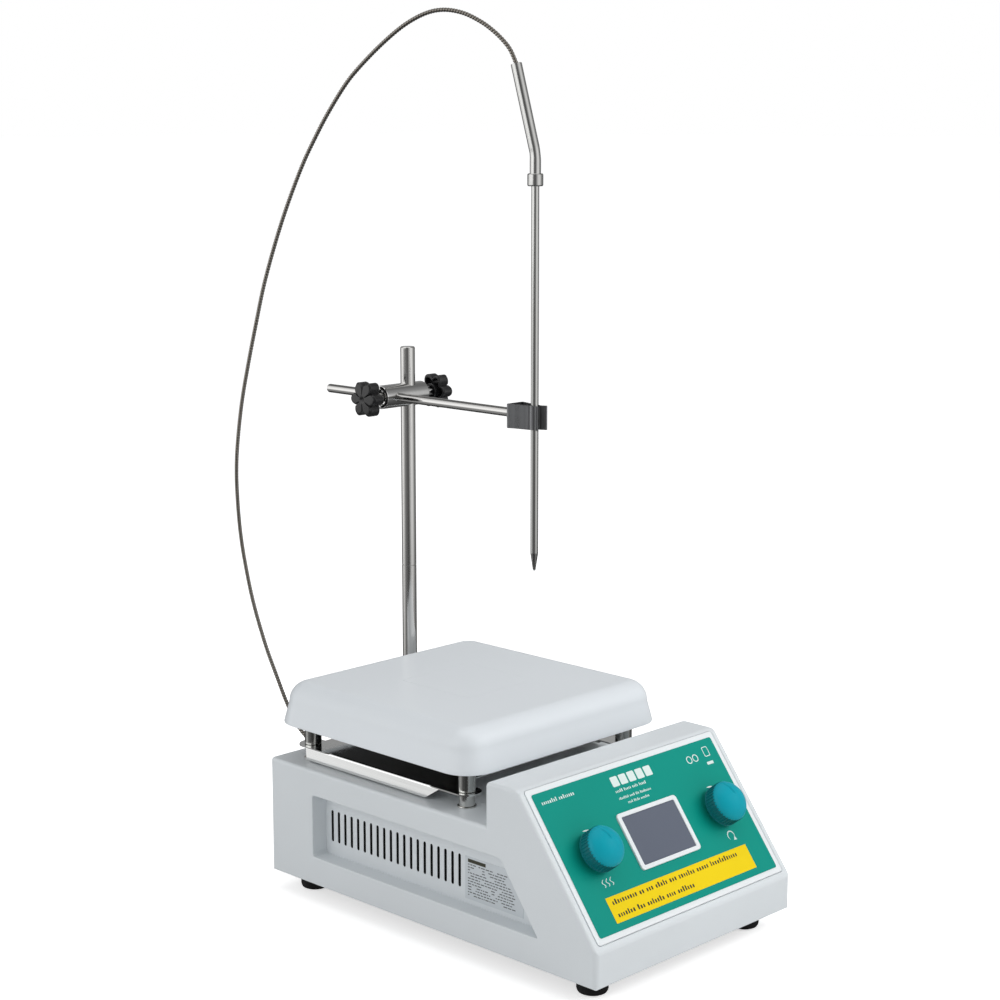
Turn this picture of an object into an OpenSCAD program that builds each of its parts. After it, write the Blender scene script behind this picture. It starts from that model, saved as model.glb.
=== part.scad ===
// Magnetic stirrer with a heated plate, a support stand and a temperature probe.
// The base is laid out from its front lower edge: x across, y to the rear, z up.
// place() then moves everything so that the origin lies on the bench under the middle of the whole unit.

/* [Base] */
// Width of the base
base_w = 182; // [170:1:195]
// Length of the base, front to rear
base_l = 286; // [284:1:288]
// Height of the rear deck above the underside
deck_h = 76.5; // [75:0.5:77]
// Height of the control hood above the underside
hood_h = 104; // [102:0.5:105]
// Height of the upright lip below the control panel
lip_h = 21.5; // [20:0.5:23]
// Distance from the front face to the top of the sloping panel
slope_y = 62.5; // [61:0.5:64]
// Distance from the front face to the hood's rear wall
hood_y = 88.5; // [88:0.5:90]
// Thickness of the moulded walls
wall = 3; // [2.5:0.1:3.2]
// Height of the rubber feet
foot_h = 12; // [10:0.5:13]
// Diameter of the rubber feet
foot_d = 19; // [16:0.5:20]

/* [Side vents] */
// Number of slots in each side
slot_count = 20; // [10:1:22]
// Width of one slot
slot_w = 2.2; // [1.6:0.1:2.4]
// Height of one slot
slot_h = 21; // [15:1:24]
// Depth of the recess that holds the slots
recess_d = 12; // [8:1:12]

/* [Heated plate] */
// Width of the plate across its lower edge
plate_w = 181; // [175:1:182]
// Height of the plate's lower edge above the underside of the base
plate_z = 101; // [100:0.5:104]
// Thickness of the plate
plate_t = 27; // [25:0.5:30]
// Middle of the plate, behind the front face
plate_y = 193.5; // [192:0.5:194]
// Half the pillar spacing across
pillar_x = 72; // [68:0.5:74]
// Half the pillar spacing, front to rear
pillar_y = 71; // [68:0.5:72]

/* [Control panel] */
// Width of the printed overlay
overlay_w = 165; // [155:1:168]
// Length of the overlay up the slope
overlay_l = 91; // [85:1:93]
// Distance of each knob from the middle
knob_x = 57.5; // [52:0.5:60]
// Diameter of the control knobs
knob_d = 27; // [22:0.5:28]
// Height of the control knobs
knob_h = 16; // [13:0.5:18]

/* [Stand] */
// Diameter of the stand rod
rod_d = 10; // [10:1:10]
// Sideways place of the rod
rod_x = 44; // [42:0.5:48]
// Place of the rod behind the front face
rod_y = 295.5; // [295.5:0.5:297]
// Height of the rod's top above the underside
rod_top = 334; // [320:1:360]
// Height of the boss clamp
boss_z = 301.5; // [290:0.5:304]
// Diameter of the cross arm
arm_d = 6; // [6:1:6]
// Offset of the cross arm from the rod
arm_off = 16; // [15:0.5:17]
// Front end of the cross arm
arm_front = 179.5; // [179:0.5:181]
// Rear end of the cross arm
arm_rear = 358; // [350:1:365]

/* [Probe] */
// Diameter of the probe tube
probe_d = 5; // [4:0.5:5]
// Place of the probe behind the front face
probe_y = 161.5; // [161:0.5:163]
// Height of the probe's tip
probe_tip = 201; // [200:1:215]
// Height of the collar's lower face
collar_z = 445; // [440:1:450]
// Diameter of the armoured cable
cable_d = 2.8; // [2.6:0.1:3]

/* [Hidden] */
$fn = 48;
fit = 0.06;                     // radial clearance of a sliding or turning fit
y_mid = arm_rear / 2;           // middle of the unit, front to rear
half = base_w / 2;
slope_a = atan2(hood_h - lip_h, slope_y);
slope_l = norm([slope_y, hood_h - lip_h]);
panel_t = 1.5;                  // thickness of the panel plate
panel_edge = 3.5;               // bare border of the plate around the overlay
film_t = 0.4;
overlay_s = 7.5;                // lower edge of the overlay, measured up the slope
panel_s = overlay_s - panel_edge;
panel_w = overlay_w + 2 * panel_edge;
panel_l = overlay_l + 2 * panel_edge;
screen_s = 53;                  // middle of the display, measured up the slope
knob_s = 54.2;                  // knobs, measured up the slope
knob_gap = 3.9;                 // height of the knobs above the panel
recess_z = [18.5, 59.5];
recess_y = 244.5;
recess_front = 45.5;            // where the recess's lower edge meets its slanted front end
slot_pitch = 6.13;
slot_y0 = 122;
slot_z = 37.8;
shield_z = 85.4;
shield_t = 0.8;
shield_x = 80;
arm_x = rod_x - arm_off;
boss_d = 16;
boss_x = [18, 57];              // left and right ends of the boss clamp
stub_l = 7;                     // narrow end of the boss before the right grip
screw_r = 3;
pad_t = 1.4;
pad_gap = 0.2;
clip_z = [292.5, 308];
clip_u = arm_front - probe_y;   // from the clip's base to the probe
motor_z = [30, 64];
board_y = 70;                   // front edge of the power board
board_z = 10.6;                 // its upper face
plug_x = -23;
plug_z = 60;
plug_y = base_l + 23;
inlet_x = -58;
inlet_z = 39;                   // middle of the plug cavity
ears_z = inlet_z - 3;           // middle of the flange and its screws
rocker_x = -22;
rocker_z = 30;
feet = [[-71, 20.5], [71, 20.5], [-71, base_l - 20.5], [71, base_l - 20.5]];
pillars = [for (sx = [-1, 1], sy = [-1, 1]) [sx * pillar_x, plate_y + sy * pillar_y]];

// Puts a shape at each pillar, measured from the plate's middle.
module at_pillars() for (p = pillars) translate([p[0], p[1] - plate_y, 0]) children();

// The probe's handle and its cable lie in one upright plane through the probe.
cable_az = 109;                 // direction of that plane, seen from above
handle_lean = 13.5;
handle_z = [collar_z + 8, collar_z + 20, collar_z + 75];
handle_end = [(handle_z[2] - handle_z[1]) * tan(handle_lean), handle_z[2]];

// Route of the cable: distance from the probe in the cable's plane, and height.
cable_run = [
    [17.2, 528.2], [22.7, 534.6], [30, 540.8], [38.5, 546.2], [50, 551.2], [63, 553.3], [75.8, 551.4],
    [90.8, 544.6], [106.6, 533.5], [122.7, 519.7], [134, 508], [147.1, 490.1], [157.6, 473.3],
    [167.6, 455.3], [180, 428], [189.8, 402.5], [198.4, 376.5], [205, 351.2], [211.4, 325.3],
    [217.4, 298], [221.4, 271], [223, 250], [222.6, 229], [221, 208], [218, 188], [212, 160],
    [203, 131], [195, 111], [187, 92], [179, 77]
];
// Last stretch, which turns into the plug.
cable_end = [[-27.5, 323, 68], [-25.5, 317, 63], [-23.5, 312.5, 60.5]];

// ---------- placing ----------

module place() translate([0, -y_mid, foot_h]) children();

// Local y runs up the panel's slope and local z points out of it.
module on_slope(x, s, h = 0)
    translate([x, s * cos(slope_a), lip_h + s * sin(slope_a)]) rotate([slope_a, 0, 0])
        translate([0, 0, h]) children();

module along_x(x, y, z, l, r) translate([x, y, z]) rotate([0, 90, 0]) cylinder(h = l, r = r);
module along_y(x, y, z, l, r) translate([x, y, z]) rotate([-90, 0, 0]) cylinder(h = l, r = r);

// Box given by its low and high corners.
module span(lo, hi) translate(lo) cube(hi - lo);

module rounded(w, l, r) {
    square([w - 2 * r, l], center = true);
    square([w, l - 2 * r], center = true);
    for (sx = [-1, 1], sy = [-1, 1])
        translate([sx * (w / 2 - r), sy * (l / 2 - r)]) circle(r);
}

// Screw places of the bottom cover, the same on both sides.
module at_posts()
    for (side = [-1, 1], p = [[65, 6], [85, 141], [85, 268]]) translate([side * p[0], p[1], 0]) children();

module screw_head(r, h) {
    difference() {
        cylinder(h = h, r = r);
        for (a = [0, 90]) rotate(a) translate([0, 0, h]) cube([r * 1.2, r * 0.3, h], center = true);
    }
}

// ---------- base ----------

// Side outline of the base, drawn in by the thickness t.
module side_outline(t) {
    drop = t / cos(slope_a);
    rise = tan(slope_a);
    low = t > 0 ? -1 : 0;
    polygon([
        [t, low], [t, lip_h + t * rise - drop],
        [(hood_h - t - lip_h + drop) / rise, hood_h - t],
        [hood_y - t, hood_h - t], [hood_y - t, deck_h - t],
        [base_l - t, deck_h - t], [base_l - t, low]
    ]);
}

module side_prism(w, t)
    rotate([90, 0, 90]) translate([0, 0, -w / 2]) linear_extrude(w) side_outline(t);

module base_solid()
    intersection() {
        side_prism(base_w, 0);
        translate([0, base_l / 2, 0]) linear_extrude(hood_h) rounded(base_w, base_l, 3.5);
    }

// Side recess, drawn out by the thickness t, with its open side beyond the wall.
module recess(side, t)
    rotate([90, 0, 90]) translate([0, 0, side > 0 ? half - recess_d - t : -half - 1])
        linear_extrude(recess_d + t + 1)
            polygon([
                [recess_y + t, recess_z[0] - t], [recess_y + t, recess_z[1] + t],
                [recess_front - t + (recess_z[1] - recess_z[0]) / tan(slope_a), recess_z[1] + t],
                [recess_front - t, recess_z[0] - t]
            ]);

module slots(side)
    rotate([90, 0, 90]) translate([0, 0, side > 0 ? half - recess_d - wall - 1 : -half + recess_d - 1])
        linear_extrude(wall + 2)
            for (i = [0:slot_count - 1]) translate([slot_y0 + i * slot_pitch, slot_z]) {
                square([slot_w, slot_h - slot_w], center = true);
                for (s = [-1, 1]) translate([0, s * (slot_h - slot_w) / 2]) circle(slot_w / 2, $fn = 16);
            }

module housing() color("gainsboro") place()
    difference() {
        union() {
            difference() {
                base_solid();
                side_prism(base_w - 2 * wall, wall);
            }
            intersection() {
                base_solid();
                for (side = [-1, 1]) recess(side, wall);
            }
            // Screw posts for the bottom cover.
            at_posts() translate([0, 0, 4]) cylinder(h = 10, r = 4);
        }
        for (side = [-1, 1]) {
            recess(side, 0);
            slots(side);
        }
        // Seat and window of the control panel.
        on_slope(0, panel_s + panel_l / 2, -panel_t / 2 + 0.5)
            cube([panel_w + 0.8, panel_l + 0.8, panel_t + 1], center = true);
        on_slope(0, panel_s + panel_l / 2, -4) cube([panel_w - 12, panel_l - 14, 12], center = true);
        // Pillar holes in the deck.
        for (p = pillars) translate([p[0], p[1], deck_h - wall - 1]) cylinder(h = wall + 2, r = 2.1);
        translate([0, plate_y, deck_h - wall - 1]) cylinder(h = wall + 2, r = 9);
        // Motor standoff holes.
        for (x = [-26, 26], y = [-26, 26])
            translate([x, plate_y + y, deck_h - wall - 1]) cylinder(h = wall - 0.5, r = 1.5);
        // Rear cut-outs.
        span([inlet_x - 13.6, base_l - wall - 1, inlet_z - 16.2], [inlet_x + 13.6, base_l + 1, inlet_z + 10]);
        translate([rocker_x, 0, rocker_z]) span([-6.6, base_l - wall - 1, -9.6], [6.6, base_l + 1, 9.6]);
        along_y(plug_x, base_l - wall - 1, plug_z, wall + 2, 6.1);
        for (dx = [-20, 20]) along_y(inlet_x + dx, base_l - wall - 1, ears_z, wall + 2, 1.6);
        for (p = bracket_holes) along_y(rod_x + p[0], base_l - wall - 1, p[1], wall + 2, 2.1);
        at_posts() translate([0, 0, 3]) cylinder(h = 9, r = 1.3);
    }

module bottom_cover() color("dimgray") place()
    difference() {
        span([-half + wall + 0.3, wall + 0.3, 0], [half - wall - 0.3, base_l - wall - 0.3, 1.2]);
        for (f = feet) translate([f[0], f[1], -1]) cylinder(h = 4, r = 2.1);
        at_posts() translate([0, 0, -1]) cylinder(h = 4, r = 1.7);
        for (i = [-5:5]) span([i * 8 - 1.2, plate_y - 30, -1], [i * 8 + 1.2, plate_y + 30, 3]);
    }

module cover_screws() color("silver") place()
    at_posts() {
        translate([0, 0, -1.8]) cylinder(h = 1.8, r = 3);
        cylinder(h = 10, r = 1.3);
    }

module foot(i) color("black") place() translate([feet[i][0], feet[i][1], 0]) {
    translate([0, 0, -foot_h]) cylinder(h = 1.5, r1 = foot_d / 2 - 1.5, r2 = foot_d / 2);
    translate([0, 0, 1.5 - foot_h]) cylinder(h = foot_h - 1.5, r = foot_d / 2);
    cylinder(h = 8, r = 2.1);
}

module foot_front_left() foot(0);
module foot_front_right() foot(1);
module foot_rear_left() foot(2);
module foot_rear_right() foot(3);

// ---------- control panel ----------

module panel_plate() color("whitesmoke") place()
    difference() {
        on_slope(0, panel_s + panel_l / 2, -panel_t) linear_extrude(panel_t) rounded(panel_w, panel_l, 2);
        on_slope(0, screen_s, -panel_t - 1) linear_extrude(panel_t + 2) rounded(49, 32, 1);
        for (s = [-1, 1]) on_slope(s * knob_x, knob_s, -panel_t - 1) cylinder(h = panel_t + 2, r = 3.6);
    }

module panel_overlay() color([0.08, 0.62, 0.55]) place()
    difference() {
        on_slope(0, overlay_s + overlay_l / 2, 0) linear_extrude(film_t) rounded(overlay_w, overlay_l, 1.5);
        on_slope(0, screen_s, -1) linear_extrude(3) rounded(54.6, 36.6, 2.5);
        for (s = [-1, 1]) on_slope(s * knob_x, knob_s, -1) cylinder(h = 3, r = 3.6);
    }

module caution_strip() color("yellow") place()
    on_slope(0, 19.8, film_t) linear_extrude(0.2) square([130.6, 15.8], center = true);

module display_bezel() color("white") place()
    difference() {
        on_slope(0, screen_s, 0) linear_extrude(1.6) rounded(54.6, 36.6, 2.5);
        on_slope(0, screen_s, -1) linear_extrude(3) rounded(48.2, 31.2, 0.8);
    }

module display_window() color("slategray") place()
    on_slope(0, screen_s, -0.2) linear_extrude(1.4) rounded(48.2, 31.2, 0.8);

module display_module() color("darkslategray") place() {
    on_slope(0, screen_s, -7) linear_extrude(6.6) rounded(47, 30, 0.5);
    on_slope(0, screen_s, -8.6) linear_extrude(1.6) square([58, 40], center = true);
}

// Fluted skirt, shoulder and domed top with a raised pointer; local z is the knob's axis.
module knob_shape() {
    r = knob_d / 2;
    flutes = 36;
    dome_r = 15.5;
    dome_h = 9;
    difference() {
        union() {
            cylinder(h = 1.2, r = r);
            linear_extrude(dome_h)
                polygon([for (i = [0:2 * flutes - 1], a = i * 180 / flutes)
                    (r - 0.2 - 0.6 * (i % 2)) * [cos(a), sin(a)]]);
            intersection() {
                translate([0, 0, dome_h - 1]) cylinder(h = knob_h - dome_h + 1, r = r - 0.7);
                translate([0, 0, knob_h - dome_r]) sphere(dome_r);
            }
            intersection() {
                translate([-0.7, 0, dome_h - 1]) cube([1.4, r - 0.6, knob_h - dome_h + 1]);
                translate([0, 0, knob_h - dome_r + 0.4]) sphere(dome_r);
            }
        }
        translate([0, 0, -1]) cylinder(h = 11, r = 3);
    }
}

module heat_knob() color([0, 0.6, 0.66]) place() on_slope(-knob_x, knob_s, knob_gap) knob_shape();
module stir_knob() color([0, 0.6, 0.66]) place() on_slope(knob_x, knob_s, knob_gap) knob_shape();

// Body, bush and nut of a potentiometer; its spindle turns with the knob in life.
module potentiometer(x) on_slope(x, knob_s) {
    translate([0, 0, -panel_t - 10]) cylinder(h = 10, r = 8.5);
    translate([0, 0, -panel_t]) cylinder(h = panel_t + 0.6, r = 3.5);
    translate([0, 0, 0.6]) cylinder(h = knob_gap + 8, r = 3 - fit);
    for (dx = [-5, 0, 5]) translate([dx - 0.5, -14, -panel_t - 6]) cube([1, 7, 1]);
}

module heat_potentiometer() color("darkgray") place() potentiometer(-knob_x);
module stir_potentiometer() color("darkgray") place() potentiometer(knob_x);

module control_board() color("darkgreen") place() {
    on_slope(0, screen_s, -21) cube([126, 60, 1.6], center = true);
    for (x = [-44, 44], y = [-22, 22]) on_slope(x, screen_s + y, -21) cylinder(h = 21 - panel_t, r = 2.5);
    on_slope(-20, screen_s + 10, -25) cube([14, 14, 6.4], center = true);
    on_slope(30, screen_s - 12, -25) cube([20, 8, 6.4], center = true);
}

module rating_label() color("white") place()
    rotate([90, 0, 90]) translate([0, 0, -half + recess_d - 0.2]) linear_extrude(0.2)
        polygon([[117, 21.5], [117, 48.5], [79, 48.5], [68, 33], [68, 21.5]]);

// ---------- electrics on the bottom cover ----------

module power_board() color("darkgreen") place() {
    span([-62, board_y, 9], [62, board_y + 72, board_z]);
    for (x = [-56, 56], y = [6, 66]) translate([x, board_y + y, 1.2]) cylinder(h = 8, r = 3);
    span([-56, board_y + 36, board_z - 0.5], [-34, board_y + 52, 22]);
    for (i = [0:3]) span([-20 + i * 11, board_y + 58, board_z - 0.5], [-11 + i * 11, board_y + 68, 20]);
    for (x = [18, 34]) translate([x, board_y + 46, board_z - 0.5]) cylinder(h = 16, r = 5.5);
}

module transformer() color("peru") place() {
    span([-28, board_y + 10, board_z], [10, board_y + 42, board_z + 3]);
    span([-24, board_y + 14, board_z], [6, board_y + 38, board_z + 24]);
    span([-30, board_y + 20, board_z + 7], [12, board_y + 32, board_z + 19]);
}

module heat_sink() color("silver") place() {
    span([24, board_y + 10, board_z], [60, board_y + 13, board_z + 24]);
    for (i = [0:5]) span([24 + i * 6.8, board_y + 13, board_z], [26 + i * 6.8, board_y + 28, board_z + 24]);
}

// ---------- heated plate ----------

// Half outline of the plate's edge, from its corner axis out: drafted side and rounded shoulder.
module plate_edge(rc, reach) {
    draft = 3.5;
    r = 13;
    shoulder = [for (a = [0:10:90]) [rc - draft - r + r * cos(a), plate_t - r + r * sin(a)]];
    polygon(concat([[-reach, 0], [rc, 0]], shoulder, [[-reach, plate_t]]));
}

module plate_form() {
    rc = 20;
    mid = plate_w / 2 - rc;
    for (sx = [-1, 1], sy = [-1, 1]) translate([sx * mid, sy * mid, 0]) rotate_extrude() plate_edge(rc, 0);
    for (a = [0, 90, 180, 270]) rotate(a) translate([mid, mid, 0]) rotate([90, 0, 0])
        linear_extrude(2 * mid) plate_edge(rc, mid + 1);
}

module heating_plate() color("white") place() translate([0, plate_y, plate_z])
    difference() {
        plate_form();
        difference() {
            translate([0, 0, -1]) linear_extrude(15) rounded(plate_w - 14, plate_w - 14, 14);
            at_pillars() translate([0, 0, 2]) cylinder(h = 20, r = 6);
        }
        at_pillars() cylinder(h = 12, r = 2);
    }

module heater_element() color("khaki") place() translate([0, plate_y, plate_z + 11.5])
    linear_extrude(2.5) difference() {
        rounded(150, 150, 12);
        at_pillars() circle(7);
    }

module insulation_pad() color("ivory") place() translate([0, plate_y, plate_z + 2])
    difference() {
        linear_extrude(9.5) rounded(150, 150, 12);
        at_pillars() translate([0, 0, -1]) cylinder(h = 12, r = 7);
        translate([-30, 0, 5.5]) cylinder(h = 5, r = 4.5);
    }

module plate_sensor() color("silver") place()
    translate([-30, plate_y, plate_z + 8.5]) cylinder(h = 3, r = 4);

module plate_cover() color("dimgray") place() translate([0, plate_y, plate_z])
    difference() {
        linear_extrude(2) rounded(plate_w - 14.4, plate_w - 14.4, 13.8);
        at_pillars() translate([0, 0, -1]) cylinder(h = 4, r = 2.1);
    }

module upper_spacers() color("silver") place()
    for (p = pillars) translate([p[0], p[1], shield_z + shield_t]) difference() {
        cylinder(h = plate_z - shield_z - shield_t, r = 5.5);
        translate([0, 0, -1]) cylinder(h = 20, r = 2.1);
    }

module lower_spacers() color("silver") place()
    for (p = pillars) translate([p[0], p[1], deck_h]) difference() {
        cylinder(h = shield_z - deck_h, r = 5);
        translate([0, 0, -1]) cylinder(h = 20, r = 2.1);
    }

// Sheet with a folded flange along each side and a round tab at each pillar.
module heat_shield() color("lightgray") place() {
    difference() {
        union() {
            translate([0, 0, shield_z]) linear_extrude(shield_t) {
                translate([-shield_x, plate_y - 56.5]) square([2 * shield_x, 126]);
                for (p = pillars) translate(p) circle(9);
                for (s = [-1, 1]) translate([s * pillar_x - 9, plate_y - pillar_y]) square([18, 20]);
            }
            for (s = [-1, 1]) rotate([90, 0, 90]) translate([0, 0, s > 0 ? shield_x - shield_t : -shield_x])
                linear_extrude(shield_t) polygon([
                    [plate_y - 56.5, shield_z + shield_t], [plate_y + 69.5, shield_z + shield_t],
                    [plate_y + 68, deck_h + 1], [plate_y - 43, deck_h + 1]
                ]);
        }
        for (p = pillars) translate([p[0], p[1], shield_z - 1]) cylinder(h = 3, r = 2.1);
        translate([0, plate_y, shield_z - 1]) cylinder(h = 3, r = 40);
    }
}

module pillar_screws() color("silver") place()
    for (p = pillars) translate([p[0], p[1], 0]) {
        translate([0, 0, deck_h - wall - 3]) cylinder(h = 3, r = 3.6);
        translate([0, 0, deck_h - wall]) cylinder(h = plate_z + 7 - deck_h + wall, r = 2);
    }

// ---------- stirring drive ----------

module stir_motor() color("slategray") place() translate([0, plate_y, 0])
    difference() {
        union() {
            translate([0, 0, motor_z[0]]) cylinder(h = motor_z[1] - motor_z[0], r = 28);
            translate([0, 0, motor_z[1]]) cylinder(h = 2, r = 8);
            translate([0, 0, motor_z[0] - 4]) cylinder(h = 4, r = 9);
            translate([24, -6, motor_z[0] + 4]) cube([9, 12, 8]);
        }
        translate([0, 0, motor_z[0] + 8]) cylinder(h = 40, r = 2.5 + fit);
    }

module motor_bracket() color("silver") place() translate([0, plate_y, motor_z[1]])
    difference() {
        linear_extrude(2) rounded(64, 64, 6);
        translate([0, 0, -1]) cylinder(h = 4, r = 8.1);
        for (x = [-26, 26], y = [-26, 26]) translate([x, y, -1]) cylinder(h = 4, r = 1.5);
    }

module motor_standoffs() color("goldenrod") place()
    for (x = [-26, 26], y = [-26, 26]) translate([x, plate_y + y, motor_z[1] + 2]) {
        cylinder(h = deck_h - wall - motor_z[1] - 2, r = 3, $fn = 24);
        translate([0, 0, -6]) cylinder(h = 6, r = 1.45);
    }

module motor_shaft() color("silver") place() translate([0, plate_y, motor_z[0] + 9])
    cylinder(h = 56, r = 2.5);

module magnet_holder() color("darkgray") place() translate([0, plate_y, 87.5])
    difference() {
        union() {
            linear_extrude(3) rounded(46, 16, 7);
            translate([0, 0, -6]) cylinder(h = 14.5, r = 6);
        }
        translate([0, 0, -7]) cylinder(h = 14.5, r = 2.5);
    }

module drive_magnets() color("silver") place()
    for (x = [-14, 14]) translate([x, plate_y, 90.5]) cylinder(h = 8, r = 7);

// ---------- rear panel ----------

// Blades of the inlet: distance from its middle across and up.
inlet_blades = [[-7, -2.7], [0, 1.3], [7, -2.7]];

module blades(y0, y1)
    for (p = inlet_blades) translate([inlet_x + p[0], 0, inlet_z + p[1]]) span([-1, y0, -2], [1, y1, 2]);

module mains_inlet() color("black") place()
    difference() {
        union() {
            span([inlet_x - 13.4, base_l - 26, inlet_z - 16], [inlet_x + 13.4, base_l, inlet_z + 9.8]);
            translate([inlet_x, base_l, ears_z]) rotate([-90, 0, 0]) linear_extrude(2.5) rounded(50, 30, 5);
        }
        // Plug cavity, with the drawer's slot below it.
        span([inlet_x - 12.2, base_l - 15, inlet_z - 8.3], [inlet_x + 12.2, base_l + 5, inlet_z + 8.3]);
        span([inlet_x - 9.2, base_l - 22, inlet_z - 15], [inlet_x + 9.2, base_l + 5, inlet_z - 9.6]);
        for (dx = [-20, 20]) along_y(inlet_x + dx, base_l - 1, ears_z, 5, 1.6);
        blades(base_l - 30, base_l - 14);
    }

module inlet_pins() color("silver") place() blades(base_l - 31, base_l - 2);

module inlet_screws() color("silver") place()
    for (dx = [-20, 20]) {
        translate([inlet_x + dx, base_l + 2.5, ears_z]) rotate([-90, 0, 0]) screw_head(2.8, 1.5);
        along_y(inlet_x + dx, base_l - 8, ears_z, 10.5, 1.5);
    }

module fuse_drawer() color("black") place()
    difference() {
        union() {
            span([inlet_x - 9, base_l - 21, inlet_z - 14.8], [inlet_x + 9, base_l + 2.6, inlet_z - 9.8]);
            span([inlet_x - 9, base_l + 2.6, inlet_z - 16.5], [inlet_x + 9, base_l + 4, inlet_z - 9.8]);
        }
        span([inlet_x - 7.5, base_l - 18, inlet_z - 14.2], [inlet_x + 7.5, base_l - 10, inlet_z - 9]);
    }

module fuse() color("lightcyan") place() along_x(inlet_x - 7.5, base_l - 14, inlet_z - 12.4, 15, 1.7);

module switch_body() color("black") place()
    difference() {
        union() {
            span([rocker_x - 6.4, base_l - 18, rocker_z - 9.4], [rocker_x + 6.4, base_l, rocker_z + 9.4]);
            span([rocker_x - 7.5, base_l, rocker_z - 10.5], [rocker_x + 7.5, base_l + 2, rocker_z + 10.5]);
            for (z = [rocker_z - 5, rocker_z + 5])
                span([rocker_x - 2.4, base_l - 26, z - 0.4], [rocker_x + 2.4, base_l - 18, z + 0.4]);
        }
        span([rocker_x - 5.4, base_l - 12, rocker_z - 8.6], [rocker_x + 5.4, base_l + 3, rocker_z + 8.6]);
        along_x(rocker_x - 6, base_l - 3, rocker_z, 12, 1);
    }

// Two shallow faces that meet at the pivot, with the upper one pressed in at rest.
module power_rocker() color("black") place() {
    rotate([90, 0, 90]) translate([base_l - 3, rocker_z, rocker_x - 5.1]) linear_extrude(10.2)
        polygon([[-3, -5], [-4.5, 0], [-3, 5], [2.2, 7.6], [3.2, 0], [5.6, -6.2], [3.2, -7.4]]);
    along_x(rocker_x - 5.9, base_l - 3, rocker_z, 11.8, 1 - fit);
}

module probe_socket() color("silver") place()
    difference() {
        union() {
            along_y(plug_x, base_l - 12, plug_z, 14, 5.9);
            along_y(plug_x, base_l, plug_z, 2, 8);
            along_y(plug_x, base_l - wall - 3, plug_z, 3, 8, $fn = 6);
        }
        along_y(plug_x, base_l - 6, plug_z, 20, 4.6);
    }

// Plug on the cable's end: shell, knurled ring and tapered sleeve.
module probe_plug() color("silver") place() {
    along_y(plug_x, base_l - 5.5, plug_z, 7.5, 4.4);
    along_y(plug_x, base_l + 2, plug_z, 10, 6.6);
    translate([plug_x, base_l + 12, plug_z]) rotate([-90, 0, 0])
        cylinder(h = plug_y - base_l - 12, r1 = 5.5, r2 = 2.6);
}

// ---------- stand ----------

// Screws of the rod's bracket: distance from the rod's axis across, and height.
bracket_holes = [[0, 26], [-10, 64], [10, 64]];

module rod_bracket() color("silver") place()
    difference() {
        union() {
            span([rod_x - 15, base_l, 20], [rod_x + 15, base_l + 4, 70]);
            span([rod_x - 9, base_l + 4, 32], [rod_x + 9, rod_y, 56]);
            translate([rod_x, rod_y, 32]) cylinder(h = 24, r = 9);
        }
        translate([rod_x, rod_y, 35]) cylinder(h = 40, r = rod_d / 2 + fit);
        for (p = bracket_holes) along_y(rod_x + p[0], base_l - 1, p[1], 6, 2.1);
    }

module bracket_screws() color("silver") place()
    for (p = bracket_holes) {
        translate([rod_x + p[0], base_l + 4, p[1]]) rotate([-90, 0, 0]) screw_head(3.8, 1.2);
        along_y(rod_x + p[0], base_l - 8, p[1], 12, 2);
    }

module stand_rod() color("silver") place() translate([rod_x, rod_y, 0]) {
    translate([0, 0, 35.2]) cylinder(h = rod_top - 36, r = rod_d / 2);
    translate([0, 0, rod_top - 0.8]) cylinder(h = 0.8, r1 = rod_d / 2, r2 = rod_d / 2 - 0.8);
}

module boss_body() color("lightgray") place()
    difference() {
        union() {
            along_x(boss_x[0], rod_y, boss_z, boss_x[1] - boss_x[0], boss_d / 2);
            along_x(boss_x[1], rod_y, boss_z, stub_l, 4.5);
        }
        translate([rod_x, rod_y, boss_z - 20]) cylinder(h = 40, r = rod_d / 2 + fit);
        along_y(arm_x, rod_y - 20, boss_z, 40, arm_d / 2 + fit);
        along_x(boss_x[0] - 1, rod_y, boss_z, 4, 5.5);
        along_x(boss_x[0] - 1, rod_y, boss_z, arm_x - boss_x[0], screw_r + fit);
        along_x(rod_x, rod_y, boss_z, 40, screw_r + fit);
    }

// Star grip with a hub, along +x from the hub's free end.
module star_grip() rotate([0, 90, 0]) {
    cylinder(h = 2, r = 5.5);
    translate([0, 0, 2]) linear_extrude(8) {
        circle(9);
        for (i = [0:5]) rotate(i * 60) translate([8.7, 0]) circle(3.8, $fn = 24);
    }
    translate([0, 0, 10]) cylinder(h = 1.6, r1 = 7.5, r2 = 5);
}

module pad_and_screw(x, side, part) {
    reach = side > 0 ? boss_x[1] + stub_l + 0.5 - x : x - boss_x[0] + 5;
    translate([x, rod_y, boss_z]) mirror([side < 0 ? 1 : 0, 0, 0]) {
        if (part == "pad") along_x(pad_gap, 0, 0, pad_t, 2.8);
        if (part == "screw") along_x(pad_gap + pad_t, 0, 0, reach + 4 - pad_gap - pad_t, screw_r);
        if (part == "grip") difference() {
            translate([reach, 0, 0]) star_grip();
            along_x(reach - 1, 0, 0, 5, screw_r);
        }
    }
}

module rod_pad() color("goldenrod") place() pad_and_screw(rod_x + rod_d / 2, 1, "pad");
module rod_screw() color("silver") place() pad_and_screw(rod_x + rod_d / 2, 1, "screw");
module rod_knob() color("black") place() pad_and_screw(rod_x + rod_d / 2, 1, "grip");
module arm_pad() color("goldenrod") place() pad_and_screw(arm_x - arm_d / 2, -1, "pad");
module arm_screw() color("silver") place() pad_and_screw(arm_x - arm_d / 2, -1, "screw");
module arm_knob() color("black") place() pad_and_screw(arm_x - arm_d / 2, -1, "grip");

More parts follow.
